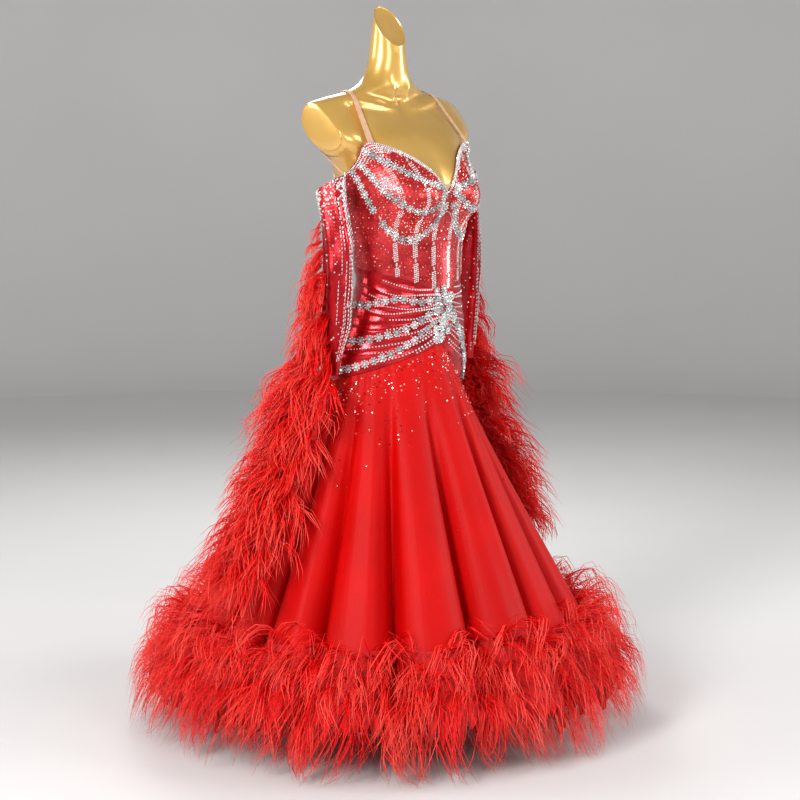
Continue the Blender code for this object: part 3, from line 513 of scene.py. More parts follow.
def smooth_path(points, count):
    """Evenly parted points along a smooth curve through some points of any kind of numbers."""
    reach = [0.0]
    for a, b in zip(points, points[1:]):
        reach.append(reach[-1] + math.dist(a, b))
    axes = list(zip(*points))
    return [tuple(hermite(reach, axis, s) for axis in axes) for s in spread(0.0, reach[-1], count)]


# ---- materials -------------------------------------------------------------------------------------------------


def new_material(name):
    material = bpy.data.materials.new(name)
    material.use_nodes = True
    tree = material.node_tree
    return material, tree, tree.nodes["Principled BSDF"]


def colour_ramp(tree, shader, level, stops):
    """Base colour from a level, through (place, colour) stops in rising order."""
    ramp = tree.nodes.new("ShaderNodeValToRGB")
    elements = ramp.color_ramp.elements
    elements[0].position, elements[1].position = stops[0][0], stops[-1][0]
    elements[0].color, elements[1].color = (*stops[0][1], 1), (*stops[-1][1], 1)
    for place, colour in stops[1:-1]:
        elements.new(place).color = (*colour, 1)
    tree.links.new(level, ramp.inputs["Fac"])
    tree.links.new(ramp.outputs["Color"], shader.inputs["Base Color"])


def mottled_colour(tree, shader, scale, dark, light, detail=4.0):
    """Base colour that drifts between two tones over the piece."""
    coordinates = tree.nodes.new("ShaderNodeTexCoord")
    clouds = tree.nodes.new("ShaderNodeTexNoise")
    clouds.inputs["Scale"].default_value = scale
    clouds.inputs["Detail"].default_value = detail
    tree.links.new(coordinates.outputs["Object"], clouds.inputs["Vector"])
    colour_ramp(tree, shader, clouds.outputs["Fac"], ((0.32, dark), (0.68, light)))
    return coordinates, clouds


def add_bump(tree, shader, height_socket, distance, strength):
    bump = tree.nodes.new("ShaderNodeBump")
    bump.inputs["Strength"].default_value = strength
    bump.inputs["Distance"].default_value = distance
    tree.links.new(height_socket, bump.inputs["Height"])
    tree.links.new(bump.outputs["Normal"], shader.inputs["Normal"])


def woven(tree, pitch):
    """Height of a plain weave on the cloth's own UV, in metres, with the pitch of one thread."""
    uv = tree.nodes.new("ShaderNodeUVMap")
    uv.uv_map = "cloth"
    warp = tree.nodes.new("ShaderNodeTexWave")
    weft = tree.nodes.new("ShaderNodeTexWave")
    for wave, direction in ((warp, "X"), (weft, "Y")):
        wave.bands_direction = direction
        wave.inputs["Scale"].default_value = 1 / pitch / 20
        wave.inputs["Distortion"].default_value = 0.4
        tree.links.new(uv.outputs["UV"], wave.inputs["Vector"])
    both = tree.nodes.new("ShaderNodeMath")
    both.operation = "MULTIPLY"
    tree.links.new(warp.outputs["Fac"], both.inputs[0])
    tree.links.new(weft.outputs["Fac"], both.inputs[1])
    return both.outputs["Value"]


def set_values(shader, **values):
    for name, value in values.items():
        shader.inputs[name.replace("_", " ")].default_value = value


def reach_or_facet_shade_times_tone(tree):
    """Product of the template's value at a point and the copy's own tone: how far along a barb the point lies, or a
    stone's painted facet shade.
    """
    product = tree.nodes.new("ShaderNodeMath")
    product.operation = "MULTIPLY"
    for k, name in enumerate(("reach", "tone")):
        attribute = tree.nodes.new("ShaderNodeAttribute")
        attribute.attribute_name = name
        tree.links.new(attribute.outputs["Fac"], product.inputs[k])
    return product.outputs["Value"]


def make_materials():
    """Every material by its short name. A stone's or a tuft's tone is drawn once for each copy."""
    made = {}
    made["gold"], tree, shader = new_material("gold_paint")
    coordinates, _ = mottled_colour(tree, shader, 9.0, (0.62, 0.35, 0.070), (0.74, 0.44, 0.105))
    set_values(shader, Roughness=0.30, Metallic=0.42, Coat_Weight=0.9, Coat_Roughness=0.06)
    grain = tree.nodes.new("ShaderNodeTexNoise")
    grain.inputs["Scale"].default_value = 140
    tree.links.new(coordinates.outputs["Object"], grain.inputs["Vector"])
    add_bump(tree, shader, grain.outputs["Fac"], 0.0004, 0.10)

    made["steel"], tree, shader = new_material("brushed_steel")
    mottled_colour(tree, shader, 30.0, (0.52, 0.53, 0.55), (0.66, 0.67, 0.69), 8.0)
    set_values(shader, Roughness=0.30, Metallic=1.0)

    made["foil"], tree, shader = new_material("foil_cloth")
    mottled_colour(tree, shader, 38.0, (0.34, 0.008, 0.012), (0.66, 0.036, 0.044), 6.0)
    set_values(shader, Roughness=0.30, Metallic=0.55, Specular_IOR_Level=0.6)
    add_bump(tree, shader, woven(tree, 0.0016), 0.0006, 0.35)

    made["lame"], tree, shader = new_material("lame")
    mottled_colour(tree, shader, 24.0, (0.38, 0.005, 0.010), (0.66, 0.020, 0.030), 5.0)
    set_values(shader, Roughness=0.20, Metallic=0.62, Anisotropic=0.35)
    add_bump(tree, shader, woven(tree, 0.0012), 0.0004, 0.18)

    made["crepe"], tree, shader = new_material("crepe")
    mottled_colour(tree, shader, 7.0, (0.48, 0.0, 0.0), (0.57, 0.0, 0.0), 3.0)
    set_values(shader, Roughness=0.55, Specular_IOR_Level=0.14, Sheen_Weight=0.05, Sheen_Roughness=0.4)
    shader.inputs["Sheen Tint"].default_value = (1.0, 0.04, 0.03, 1)
    add_bump(tree, shader, woven(tree, 0.0014), 0.0005, 0.25)

    made["feather"], tree, shader = new_material("ostrich_barbs")
    # Darker red towards the root and the dyed red along the barb, with a painted coral highlight at the tips
    stops = ((0.0, (0.66, 0.001, 0.001)), (0.35, (0.88, 0.002, 0.002)), (0.85, (1.0, 0.085, 0.060)))
    colour_ramp(tree, shader, reach_or_facet_shade_times_tone(tree), stops)
    set_values(shader, Roughness=0.42, Specular_IOR_Level=0.24)

    made["down"], tree, shader = new_material("feather_down_painted_shade")
    # Dark red mottled in upright streaks, as painted shade for the depth between the barbs
    coordinates, clouds = mottled_colour(tree, shader, 150.0, (0.26, 0.0, 0.0), (0.74, 0.001, 0.001), 6.0)
    streaks = tree.nodes.new("ShaderNodeMapping")
    streaks.inputs["Scale"].default_value = (1.0, 1.0, 0.12)
    tree.links.new(coordinates.outputs["Object"], streaks.inputs["Vector"])
    tree.links.new(streaks.outputs["Vector"], clouds.inputs["Vector"])
    set_values(shader, Roughness=0.85)

    made["nude"], tree, shader = new_material("nude_elastic")
    coordinates, _ = mottled_colour(tree, shader, 90.0, (0.56, 0.31, 0.18), (0.66, 0.40, 0.25))
    set_values(shader, Roughness=0.55, Sheen_Weight=0.1)
    ribs = tree.nodes.new("ShaderNodeTexWave")
    ribs.bands_direction = "DIAGONAL"
    ribs.inputs["Scale"].default_value = 140
    tree.links.new(coordinates.outputs["Object"], ribs.inputs["Vector"])
    add_bump(tree, shader, ribs.outputs["Fac"], 0.0004, 0.3)

    made["crystal"], tree, shader = new_material("clear_crystal_painted_facets")
    # Painted facet light: near black where a stone's girdle is in painted shade, white for a painted highlight on its
    # table
    stops = ((0.0, (0.10, 0.11, 0.12)), (0.22, (0.44, 0.45, 0.47)), (0.6, (0.95, 0.95, 0.93)))
    colour_ramp(tree, shader, reach_or_facet_shade_times_tone(tree), stops)
    set_values(shader, Roughness=0.12, Metallic=0.30, Coat_Weight=1.0, Coat_Roughness=0.03)

    made["ruby"], tree, shader = new_material("ruby_crystal_painted_facets")
    # The stones' own red in the middle; near black for painted shade on the girdle and a pale pink painted glint on the
    # brightest tables
    stops = (
        (0.0, (0.16, 0.004, 0.006)),
        (0.22, (0.74, 0.02, 0.02)),
        (0.50, (1.0, 0.16, 0.07)),
        (0.80, (1.0, 0.80, 0.70)),
    )
    colour_ramp(tree, shader, reach_or_facet_shade_times_tone(tree), stops)
    set_values(shader, Roughness=0.10, Metallic=0.35, Coat_Weight=1.0, Coat_Roughness=0.03)

    made["floor"], tree, shader = new_material("pale_floor")
    mottled_colour(tree, shader, 0.6, (0.70, 0.69, 0.68), (0.74, 0.73, 0.72))
    set_values(shader, Roughness=0.75)
    return made


MATERIALS = make_materials()


# ---- pieces ----------------------------------------------------------------------------------------------------


def mesh_object(name, vertices, faces, material, outward=True):
    """A smooth-shaded piece in the scene, its faces turned outwards unless told otherwise."""
    mesh = bpy.data.meshes.new(name)
    mesh.from_pydata([tuple(v) for v in vertices], [], faces)
    if outward:
        shape = bmesh.new()
        shape.from_mesh(mesh)
        bmesh.ops.recalc_face_normals(shape, faces=shape.faces)
        shape.to_mesh(mesh)
        shape.free()
    mesh.shade_smooth()
    mesh.set_sharp_from_angle(angle=math.radians(42))
    mesh.materials.append(MATERIALS[material])
    piece = bpy.data.objects.new(name, mesh)
    bpy.context.scene.collection.objects.link(piece)
    return piece


def declare(piece, slot, *nodes):
    """Rides the one body, and takes the place of some nodes unless it only adds to them; its slot is not used."""
    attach(piece, "root")
    if nodes:
        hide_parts(*nodes)


def shell(name, material, columns, rows, surface, thickness, tube=False):
    """A closed thin wall of cloth on surface(column, row, out), with a UV map in metres along and down it."""
    across, down = len(columns), len(rows)
    vertices = [surface(c, r, layer * thickness) for layer in (0, 1) for r in rows for c in columns]
    outside = across * down
    middle_row = outside + (down // 2) * across
    along = [0.0]
    for i in range(1, across + 1):
        a, b = middle_row + i - 1, middle_row + i % across
        along.append(along[-1] + (vertices[b] - vertices[a]).length)
    drop = [0.0]
    for j in range(1, down):
        a, b = outside + j * across + across // 2, outside + (j - 1) * across + across // 2
        drop.append(drop[-1] + (vertices[a] - vertices[b]).length)

    def at(layer, i, j):
        return layer * outside + j * across + i % across

    faces, marks = [], []

    def face(*corners):
        faces.append(tuple(at(layer, i, j) for layer, i, j in corners))
        marks.append([(along[i], drop[j]) for _, i, j in corners])

    spans = across if tube else across - 1
    for i in range(spans):
        for j in range(down - 1):
            face((0, i, j), (0, i, j + 1), (0, i + 1, j + 1), (0, i + 1, j))
            face((1, i, j), (1, i + 1, j), (1, i + 1, j + 1), (1, i, j + 1))
        face((0, i, 0), (0, i + 1, 0), (1, i + 1, 0), (1, i, 0))
        face((0, i, down - 1), (1, i, down - 1), (1, i + 1, down - 1), (0, i + 1, down - 1))
    if not tube:
        for j in range(down - 1):
            face((0, 0, j), (1, 0, j), (1, 0, j + 1), (0, 0, j + 1))
            face((0, across - 1, j), (0, across - 1, j + 1), (1, across - 1, j + 1), (1, across - 1, j))
    piece = mesh_object(name, vertices, faces, material, outward=False)
    mesh = piece.data
    if sum(p.center.dot(p.normal) * p.area for p in mesh.polygons) < 0:
        mesh.flip_normals()
        marks = [[m[0]] + m[:0:-1] for m in marks]
    layer = mesh.uv_layers.new(name="cloth")
    for polygon, mark in zip(mesh.polygons, marks):
        for loop, uv in zip(polygon.loop_indices, mark):
            layer.data[loop].uv = uv
    wide = max(
        sum((vertices[at(1, i + 1, j)] - vertices[at(1, i, j)]).length for i in range(spans))
        for j in (0, down // 2, down - 1)
    )
    long = max(
        sum((vertices[at(1, i, j + 1)] - vertices[at(1, i, j)]).length for j in range(down - 1))
        for i in (0, across // 2, across - 1)
    )
    area = sum(p.area for p in mesh.polygons) / 2
    piece["cut"] = [wide, long, min(area, wide * long)]
    return piece


def declare_cloth(piece, slot, nodes):
    """Puts a shell on the body in place of its nodes, and prints the flat size that it was measured at when it was
    made.
    """
    declare(piece, slot, *nodes)
    wide, long, area = piece["cut"]
    del piece["cut"]
    print(f"sheet {piece.name}: {wide:.3f} x {long:.3f} m, {area:.4f} m2")
    return piece


def seam_angles(start, end, count, radius=0.13):
    """Columns of a panel, half a seam's gap in from each end at a radius."""
    gap = math.degrees(SEAM / 2 / radius)
    return spread(start + gap, end - gap, count)


def bump_along(x, z, ends, width):
    """1 on the straight line between two (x, z) ends, falling off softly to its sides and past its ends."""
    (ax, az), (bx, bz) = ends
    span = (bx - ax) ** 2 + (bz - az) ** 2
    t = min(max(((x - ax) * (bx - ax) + (z - az) * (bz - az)) / span, 0.0), 1.0)
    away = math.hypot(x - ax - t * (bx - ax), z - az - t * (bz - az))
    return math.exp(-((away / width) ** 2)) * (0.55 + 0.45 * math.sin(math.pi * (0.15 + 0.7 * t)))


def body_modelling(angle, point):
    """Collarbones, the notch between them, the neck's cords and the fold before the arm, on the front only."""
    if math.cos(math.radians(angle)) < 0.05:
        return 0.0
    x, z = abs(point.x), point.z
    rise = 0.0085 * bump_along(x, z, ((0.022, 1.300), (0.120, 1.316)), 0.0095)
    rise += 0.0050 * bump_along(x, z, ((0.012, 1.308), (0.030, 1.365)), 0.0085) * ease((1.385 - z) / 0.05)
    rise -= 0.0065 * math.exp(-((x / 0.011) ** 2) - ((z - 1.318) / 0.016) ** 2)
    rise -= 0.0100 * bump_along(x, z, ((0.136, 1.300), (0.150, 1.205)), 0.0120)
    rise -= 0.0040 * bump_along(x, z, ((0.050, 1.326), (0.112, 1.333)), 0.0100)
    return rise * min(math.cos(math.radians(angle)) * 4, 1)


def arm_cut(height):
    share = (height - ARM_CUT_BOTTOM_Z) / (ARM_CUT_TOP_Z - ARM_CUT_BOTTOM_Z)
    return ARM_CUT_BOTTOM_X + (ARM_CUT_TOP_X - ARM_CUT_BOTTOM_X) * share


def build_arm_plates():
    """The slightly domed oval plate that closes each arm, set off from the shoulder by a fine groove."""
    outline = []
    for height in spread(SHOULDER_LINE, 1.318, 60):
        s, cut = section_at(height), arm_cut(height)
        if s.half_width - FORM_SLACK > cut:
            reach = (s.half_depth - FORM_SLACK) * math.sqrt(1 - (cut / (s.half_width - FORM_SLACK)) ** 2)
            outline.append((s.centre_y, height, reach))
    ring = [(y - r, z) for y, z, r in outline] + [(y + r, z) for y, z, r in reversed(outline)]
    middle_y = sum(p[0] for p in ring) / len(ring)
    middle_z = sum(p[1] for p in ring) / len(ring)
    n = len(ring)
    for side, sign in SIDES:
        vertices = []
        for share, lift in PLATE_RINGS:
            for y, z in ring:
                here_y, here_z = middle_y + (y - middle_y) * share, middle_z + (z - middle_z) * share
                vertices.append(Vector((sign * (arm_cut(here_z) + lift), here_y, here_z)))
        faces = [tuple(range(n)), tuple((len(PLATE_RINGS) - 1) * n + k for k in range(n))]
        faces += ring_faces(0, n, len(PLATE_RINGS))
        declare(mesh_object(f"arm_plate_{side}", vertices, faces, "gold"), "gold")


def build_form():
    """The gold torso, finely faceted, with flat arm cuts and a slanted oval neck cut."""
    sides = FORM_SIDES
    heights = []
    for a, b in zip(SECTION_HEIGHTS, SECTION_HEIGHTS[1:]):
        steps = max(round((b - a) / 0.009), 3)
        heights += [a + (b - a) * k / steps for k in range(steps)]
    heights.append(SECTION_HEIGHTS[-1])
    angles = [360 * k / sides for k in range(sides)]
    vertices = []
    for height in heights:
        for angle in angles:
            point = figure(angle, height, -FORM_SLACK)
            if height > SHOULDER_LINE:
                point = figure(angle, height, body_modelling(angle, point) - FORM_SLACK)
            cut = arm_cut(height)
            point.x = min(max(point.x, -cut), cut)
            vertices.append(point)
    top = FIGURE_SECTIONS[-1]
    ring = []
    for angle in angles:
        turn = math.radians(angle)
        back = -NECK_CUT_FORWARD - NECK_CUT_HALF_DEPTH * math.cos(turn)
        height = top.height + NECK_CUT_RISE + NECK_CUT_SLOPE * back
        ring.append(Vector((NECK_CUT_HALF_WIDTH * math.sin(turn), top.centre_y + back, height)))
    start, below = vertices[-sides:], vertices[-2 * sides:-sides]
    for step in spread(0.0, 1.0, 15)[1:]:
        for k in range(sides):
            # The neck runs on upwards in its own line before it leans into the cut
            carried = start[k] + (start[k] - below[k]).normalized() * (ring[k].z - start[k].z) * step
            vertices.append(carried.lerp(start[k].lerp(ring[k], step), ease(0.35 + 0.65 * step)))
    middle = sum(ring, Vector()) / sides
    inward = Vector((0, NECK_CUT_SLOPE, -1)).normalized()
    for share, sink in ((0.975, -0.0008), (0.955, 0.0006), (0.93, 0.0009), (0.5, 0.0009)):
        vertices += [middle.lerp(p, share) + inward * sink for p in ring]
    rings = len(vertices) // sides
    faces = [tuple(range(sides)), tuple((rings - 1) * sides + k for k in range(sides))]
    faces += ring_faces(0, sides, rings)
    declare(mesh_object("gold_form", vertices, faces, "gold"), "gold", "form_torso")


def circle(radius, height, sides):
    """A level ring of points about the upright axis."""
    turns = [2 * math.pi * k / sides for k in range(sides)]
    return [Vector((radius * math.cos(t), radius * math.sin(t), height)) for t in turns]


def lathe(name, material, profile, sides):
    """A turned piece about the upright axis, from (radius, height) rows that start and end on the axis."""
    vertices = [Vector((0, 0, profile[0][1]))]
    for radius, height in profile[1:-1]:
        vertices += circle(radius, height, sides)
    vertices.append(Vector((0, 0, profile[-1][1])))
    faces, rings = [], len(profile) - 2
    for k in range(sides):
        nxt = (k + 1) % sides
        faces.append((0, 1 + k, 1 + nxt))
        for j in range(rings - 1):
            a, b = 1 + j * sides + k, 1 + j * sides + nxt
            faces.append((a, b, b + sides, a + sides))
        end = 1 + (rings - 1) * sides
        faces.append((len(vertices) - 1, end + k, end + nxt))
    return mesh_object(name, vertices, faces, material)


def rounded(radius, low, high, soft):
    """Rows of a disc's rim with rounded edges."""
    turns = spread(0, math.pi / 2, 5)
    under = [(radius - soft + soft * math.sin(t), low + soft - soft * math.cos(t)) for t in turns]
    return under + [(radius - soft + soft * math.cos(t), high - soft + soft * math.sin(t)) for t in turns]


def build_stand():
    """Base disc, pole with its foot collar and top socket, and the flange under the form."""
    base = [(0, 0)] + rounded(BASE_RADIUS, 0, BASE_TOP, 0.0025) + [(0, BASE_TOP)]
    declare(lathe("base_disc", "steel", base, 96), "steel", "stand_base")
    foot = [(0.034 - 0.014 * ease(t), 0.0203 + 0.026 * t) for t in spread(0, 1, 8)]
    socket = [(0.0185, 0.5935), (0.019, 0.595), (0.019, 0.6205), (0.018, 0.6214), (0, 0.6214)]
    pole = [(0, 0.0123), (0.034, 0.0123)] + foot + [(POLE_RADIUS, 0.0483), (POLE_RADIUS, 0.591)] + socket
    declare(lathe("pole", "steel", pole, 48), "steel", "stand_pole")
    flange = [(0, FLANGE_BOTTOM)] + rounded(FLANGE_RADIUS, FLANGE_BOTTOM, FLANGE_TOP, 0.002) + [(0, FLANGE_TOP)]
    declare(lathe("flange", "steel", flange, 64), "steel", "stand_flange")


def corset_creases(angle, height):
    """Slight pulls in the taut foil, most of them low at the sides and the back."""
    low = ease((1.06 - height) / 0.08)
    side = ease((abs(angle) - 40) / 40)
    wave = noise.noise(Vector((angle / 60, height * 55 + 0.006 * angle, 3.1)))
    return 0.0013 * low * (0.25 + 0.75 * side) * wave + 0.0004 * noise.noise(Vector((angle / 14, height * 18, 8.0)))


def build_bodice():
    """The corset's eight foil panels, its cups among them, and the nude mesh at the notch between the cups."""
    half = SEAM / 2
    panels = []

    def panel(name, node, ends, count, bottom, top, rows):
        def surface(angle, share, out):
            low, high = bottom(angle), top(angle)
            height = low + (high - low) * share
            return figure(angle, height, CLOTH_EASE + CORSET_LIFT + out + corset_creases(angle, height))

        piece = shell(name, "foil", seam_angles(*ends, count), spread(0.0, 1.0, rows), surface, FOIL_CLOTH)
        panels.append(declare_cloth(piece, "stone_cloth", [node]))

    def above_band(angle):
        return drape_top(angle) + half

    for side, sign in SIDES:
        front = sorted((0, sign * CUP_ANGLE))
        back_parts = (("side", (sign * CUP_ANGLE, sign * SIDE_ANGLE)), ("back", (sign * SIDE_ANGLE, sign * 180)))
        panel(f"foil_cup_{side}", f"cup_{side}", front, 44, lambda a: cup_seam(a) + half, neckline, 34)
        panel(f"foil_front_{side}", f"bodice_front_{side}", front, 44, above_band, lambda a: cup_seam(a) - half, 34)
        for part, ends in back_parts:
            panel(f"foil_{part}_{side}", f"bodice_{part}_{side}", sorted(ends), 34, above_band, neckline, 52)
    step = CUP_ANGLE / 11
    slope = (neckline(step) - neckline(0)) / step

    def mesh_surface(angle, share, out):
        low = max(neckline(0) + slope * abs(angle), neckline(angle)) + 2 * SEAM
        return figure(angle, low + (neckline(0) + slope * 4.6 + 2 * SEAM - low) * share, CLOTH_EASE + 0.0004 + out)

    piece = shell("mesh_notch", "nude", spread(-4.0, 4.0, 17), spread(0.0, 1.0, 5), mesh_surface, MESH_CLOTH)
    declare_cloth(piece, "nude", ["notch_mesh"])
    return panels


def make_folds():
    """Folds of the gathered band, finer and less even than the main ones of the solid."""
    draw = random.Random(41)
    folds = []
    side = BAND_FOLDS_TOP
    while side > BAND_FOLDS_BOTTOM:
        share = (BAND_FOLDS_TOP - side) / (BAND_FOLDS_TOP - BAND_FOLDS_BOTTOM)
        centre = 0.926 - 0.098 * share
        rise, width, phase = draw.uniform(0.0022, 0.0050), draw.uniform(0.0042, 0.0085), draw.uniform(0, 6.3)
        folds.append(Fold(side, centre, rise, width, phase))
        side -= draw.uniform(0.011, 0.024)
    return folds


BAND_FOLDS = make_folds()


def from_gather(angle):
    """How far round from the gather to the band's side seam an angle is, from 0 to 1."""
    return min(abs(angle - GATHER.angle) / 95.0, 1.0)


def fold_height(fold, angle):
    """Height of a fold's back, which falls or rises from the gather to the side."""
    side = from_gather(angle)
    spread_out = side**0.75
    line = fold.centre_height + (fold.side_height - fold.centre_height) * spread_out
    return line - 0.012 * math.sin(math.pi * side) + 0.0022 * math.sin(angle * 0.09 + fold.phase)


def band_folds(angle, height):
    """Sharp-backed folds from the gather to the sides, each swelling and dying away along its length."""
    side = from_gather(angle)
    rise = -0.0006
    for fold in BAND_FOLDS:
        away = (height - fold_height(fold, angle)) / (fold.width * (0.45 + 0.55 * side**0.75))
        if abs(away) < 3:
            swell = 0.62 + 0.38 * math.sin(angle * 0.045 + 2 * fold.phase)
            profile = math.exp(-abs(away) ** 1.5) if away > 0 else math.exp(-(away * away) * 1.7)
            rise = max(rise, fold.rise * swell * profile - 0.0006)
    return rise + 0.0005 * noise.noise(Vector((angle / 5, height * 60, 1.0)))


def back_folds(angle, height):
    """Softer level folds over the band's back."""
    turn = (angle - 180) / 80
    rise = -0.0004
    for k, fold in enumerate(BAND_FOLDS[::2]):
        line = 0.962 - 0.030 * k + 0.010 * turn * math.sin(fold.phase) + 0.004 * math.sin(angle * 0.06 + fold.phase)
        swell = 0.5 + 0.5 * math.sin(angle * 0.05 + 2 * fold.phase)
        rise = max(rise, fold.rise * 0.7 * swell * math.exp(-(((height - line) / 0.008) ** 2)) - 0.0004)
    return rise


def build_band():
    """The gathered lame band over the waist and hips, in two fronts and a back."""
    half = SEAM / 2
    pieces = []
    for name, node, start, end, count, rows, folds in (
        ("band_front_right", "drape_front_right", -DRAPE_SIDE_ANGLE, GATHER.angle, 84, 84, band_folds),
        ("band_front_left", "drape_front_left", GATHER.angle, DRAPE_SIDE_ANGLE, 84, 84, band_folds),
        ("band_back", "drape_back", DRAPE_SIDE_ANGLE, 360 - DRAPE_SIDE_ANGLE, 84, 56, back_folds),
    ):

        def surface(angle, share, out, folds=folds):
            low, high = drape_bottom(angle) + half, drape_top(angle) - half
            height = low + (high - low) * share
            edge = ease(share * 14) * ease((1 - share) * 14)
            return figure(angle, height, CLOTH_EASE + BAND_LIFT + out + folds(angle, height) * (0.4 + 0.6 * edge))

        piece = shell(name, "lame", seam_angles(start, end, count), spread(0.0, 1.0, rows), surface, LAME_CLOTH)
        pieces.append(declare_cloth(piece, "lame", [node]))
    return pieces


def make_skirt_creases():
    """Up to four smaller ridges or troughs on each flute, uneven in length, depth and spacing."""
    draw = random.Random(17)
    creases = []
    for k, flute in enumerate(FLUTES):
        after = FLUTES[(k + 1) % len(FLUTES)].angle + (360 if k == len(FLUTES) - 1 else 0)
        span = after - flute.angle
        for place in (0.16, 0.34, 0.70, 0.86):
            if draw.random() < 0.25:
                continue
            angle = flute.angle + span * (place + draw.uniform(-0.06, 0.06))
            rise = draw.choice((-1, 1, 1)) * draw.uniform(0.002, 0.0065)
            start = draw.uniform(-0.1, 0.5)
            creases.append(Crease(angle, draw.uniform(1.1, 2.4), rise, start, start + draw.uniform(0.45, 1.1)))
    return creases


SKIRT_CREASES = make_skirt_creases()


@lru_cache(maxsize=5000)
def creases_near(angle):
    """The skirt's creases that reach an angle, and how strongly."""
    near = []
    for c in SKIRT_CREASES:
        away = (angle - c.angle + 180) % 360 - 180
        if abs(away) < 3.2 * c.width:
            near.append((c, math.exp(-((away / c.width) ** 2))))
    return near


def skirt_relief(angle, share):
    """How far the cloth stands off the plain flutes: fine gathers at the band, pinched valleys and creases."""
    total = 0.0012 * math.exp(-share / 0.10) * math.sin(math.radians(angle) * 47 + 1.6 * math.sin(angle * 0.11))
    total -= 0.020 * max(-flute_wave(angle)[0] - 0.5, 0) * ease(share / 0.6)
    for c, bell in creases_near(angle):
        length = ease((share - c.start) / 0.3) * (1 - ease((share - c.end) / 0.35))
        total += c.rise * bell * length * min(share * 2, 1)
    return total


def build_skirt():
    """Nine crepe gores of two flutes each, seamed in the valleys."""
    starts = skirt_seams()
    pieces = []
    for k in range(len(starts) - 1):
        piece = shell(
            f"gore_{k + 1}",
            "crepe",
            seam_angles(starts[k], starts[k + 1], 42, HEM_RADIUS * 0.5),
            spread(0.0, 1.0, 46),
            lambda angle, share, out: skirt(angle, share, GORE_LIFT + out + skirt_relief(angle, share)),
            CREPE_CLOTH,
        )
        pieces.append(declare_cloth(piece, "crepe", [f"skirt_gore_{k + 1}"]))
    return pieces


def sleeve_creases(turn, height):
    """Long falls down the sleeve with a few slanting pulls across them."""
    fall = 0.0016 * math.sin(math.radians(turn) * 5 + 2.2 * math.sin(height * 9))
    pull = 0.0013 * noise_round(turn, 1.4, height * 26)
    return (fall + pull) * (0.35 + 0.65 * ease((1.13 - height) / 0.10))


def build_sleeves():
    """Flattened lame tubes that hang beside the body, open above and at the wrist."""
    for side, sign in SIDES:
        piece = shell(
            f"lame_sleeve_{side}",
            "lame",
            [360 * k / SLEEVE_SIDES for k in range(SLEEVE_SIDES)],
            spread(SLEEVE_TOP, SLEEVE_BOTTOM, 76),
            lambda turn, height, out: sleeve_point(turn, height, out + sleeve_creases(turn, height), sign),
            SLEEVE_CLOTH,
            tube=True,
        )
        declare_cloth(piece, "lame", [f"sleeve_{side}"])


def taut_line(tree, start, end, side, stations, lift):
    """A thread pulled tight over the form from start to end, in the plane of its ends and the side it goes round."""
    centre = (start + end) / 2
    level = (end - start).normalized()
    up = (side - level * side.dot(level)).normalized()
    points = []
    for turn in spread(math.pi, 0.0, 90)[1:-1]:
        ray = level * math.cos(turn) + up * math.sin(turn)
        hit = tree.ray_cast(centre + ray * 0.5, -ray)[0]
        points.append(hit + ray * lift)
    hull = []
    for p in [start, *points, end]:
        while len(hull) > 1:
            before, ahead = hull[-1] - hull[-2], p - hull[-1]
            if before.dot(level) * ahead.dot(up) - before.dot(up) * ahead.dot(level) < 0:
                break
            hull.pop()
        hull.append(p)
    reach = path_lengths(hull)
    line = []
    for t in spread(0.0, reach[-1], stations):
        k = max(i for i in range(len(hull) - 1) if reach[i] <= t + 1e-9)
        line.append(hull[k].lerp(hull[k + 1], min((t - reach[k]) / (reach[k + 1] - reach[k]), 1.0)))
    return line


def off_strap(left, right, along):
    """Direction out of a strap, away from the form, from its two edges and the way it runs."""
    normal = (right - left).cross(along).normalized()
    if normal.dot(Vector((left.x, left.y, 0.12))) < 0:
        normal.negate()
    return normal


def ribbon(name, material, lefts, rights, thickness):
    """A flat elastic strap from its two edge lines, five points wide and slightly crowned."""
    last = len(lefts) - 1
    outs = [off_strap(lefts[k], rights[k], lefts[min(k + 1, last)] - lefts[max(k - 1, 0)]) for k in range(last + 1)]

    def surface(share, k, out):
        crown = 0.00025 * math.sin(math.pi * share)
        return lefts[k].lerp(rights[k], share) + outs[k] * (out + crown)

    return shell(name, material, spread(0.0, 1.0, 5), list(range(last + 1)), surface, thickness)


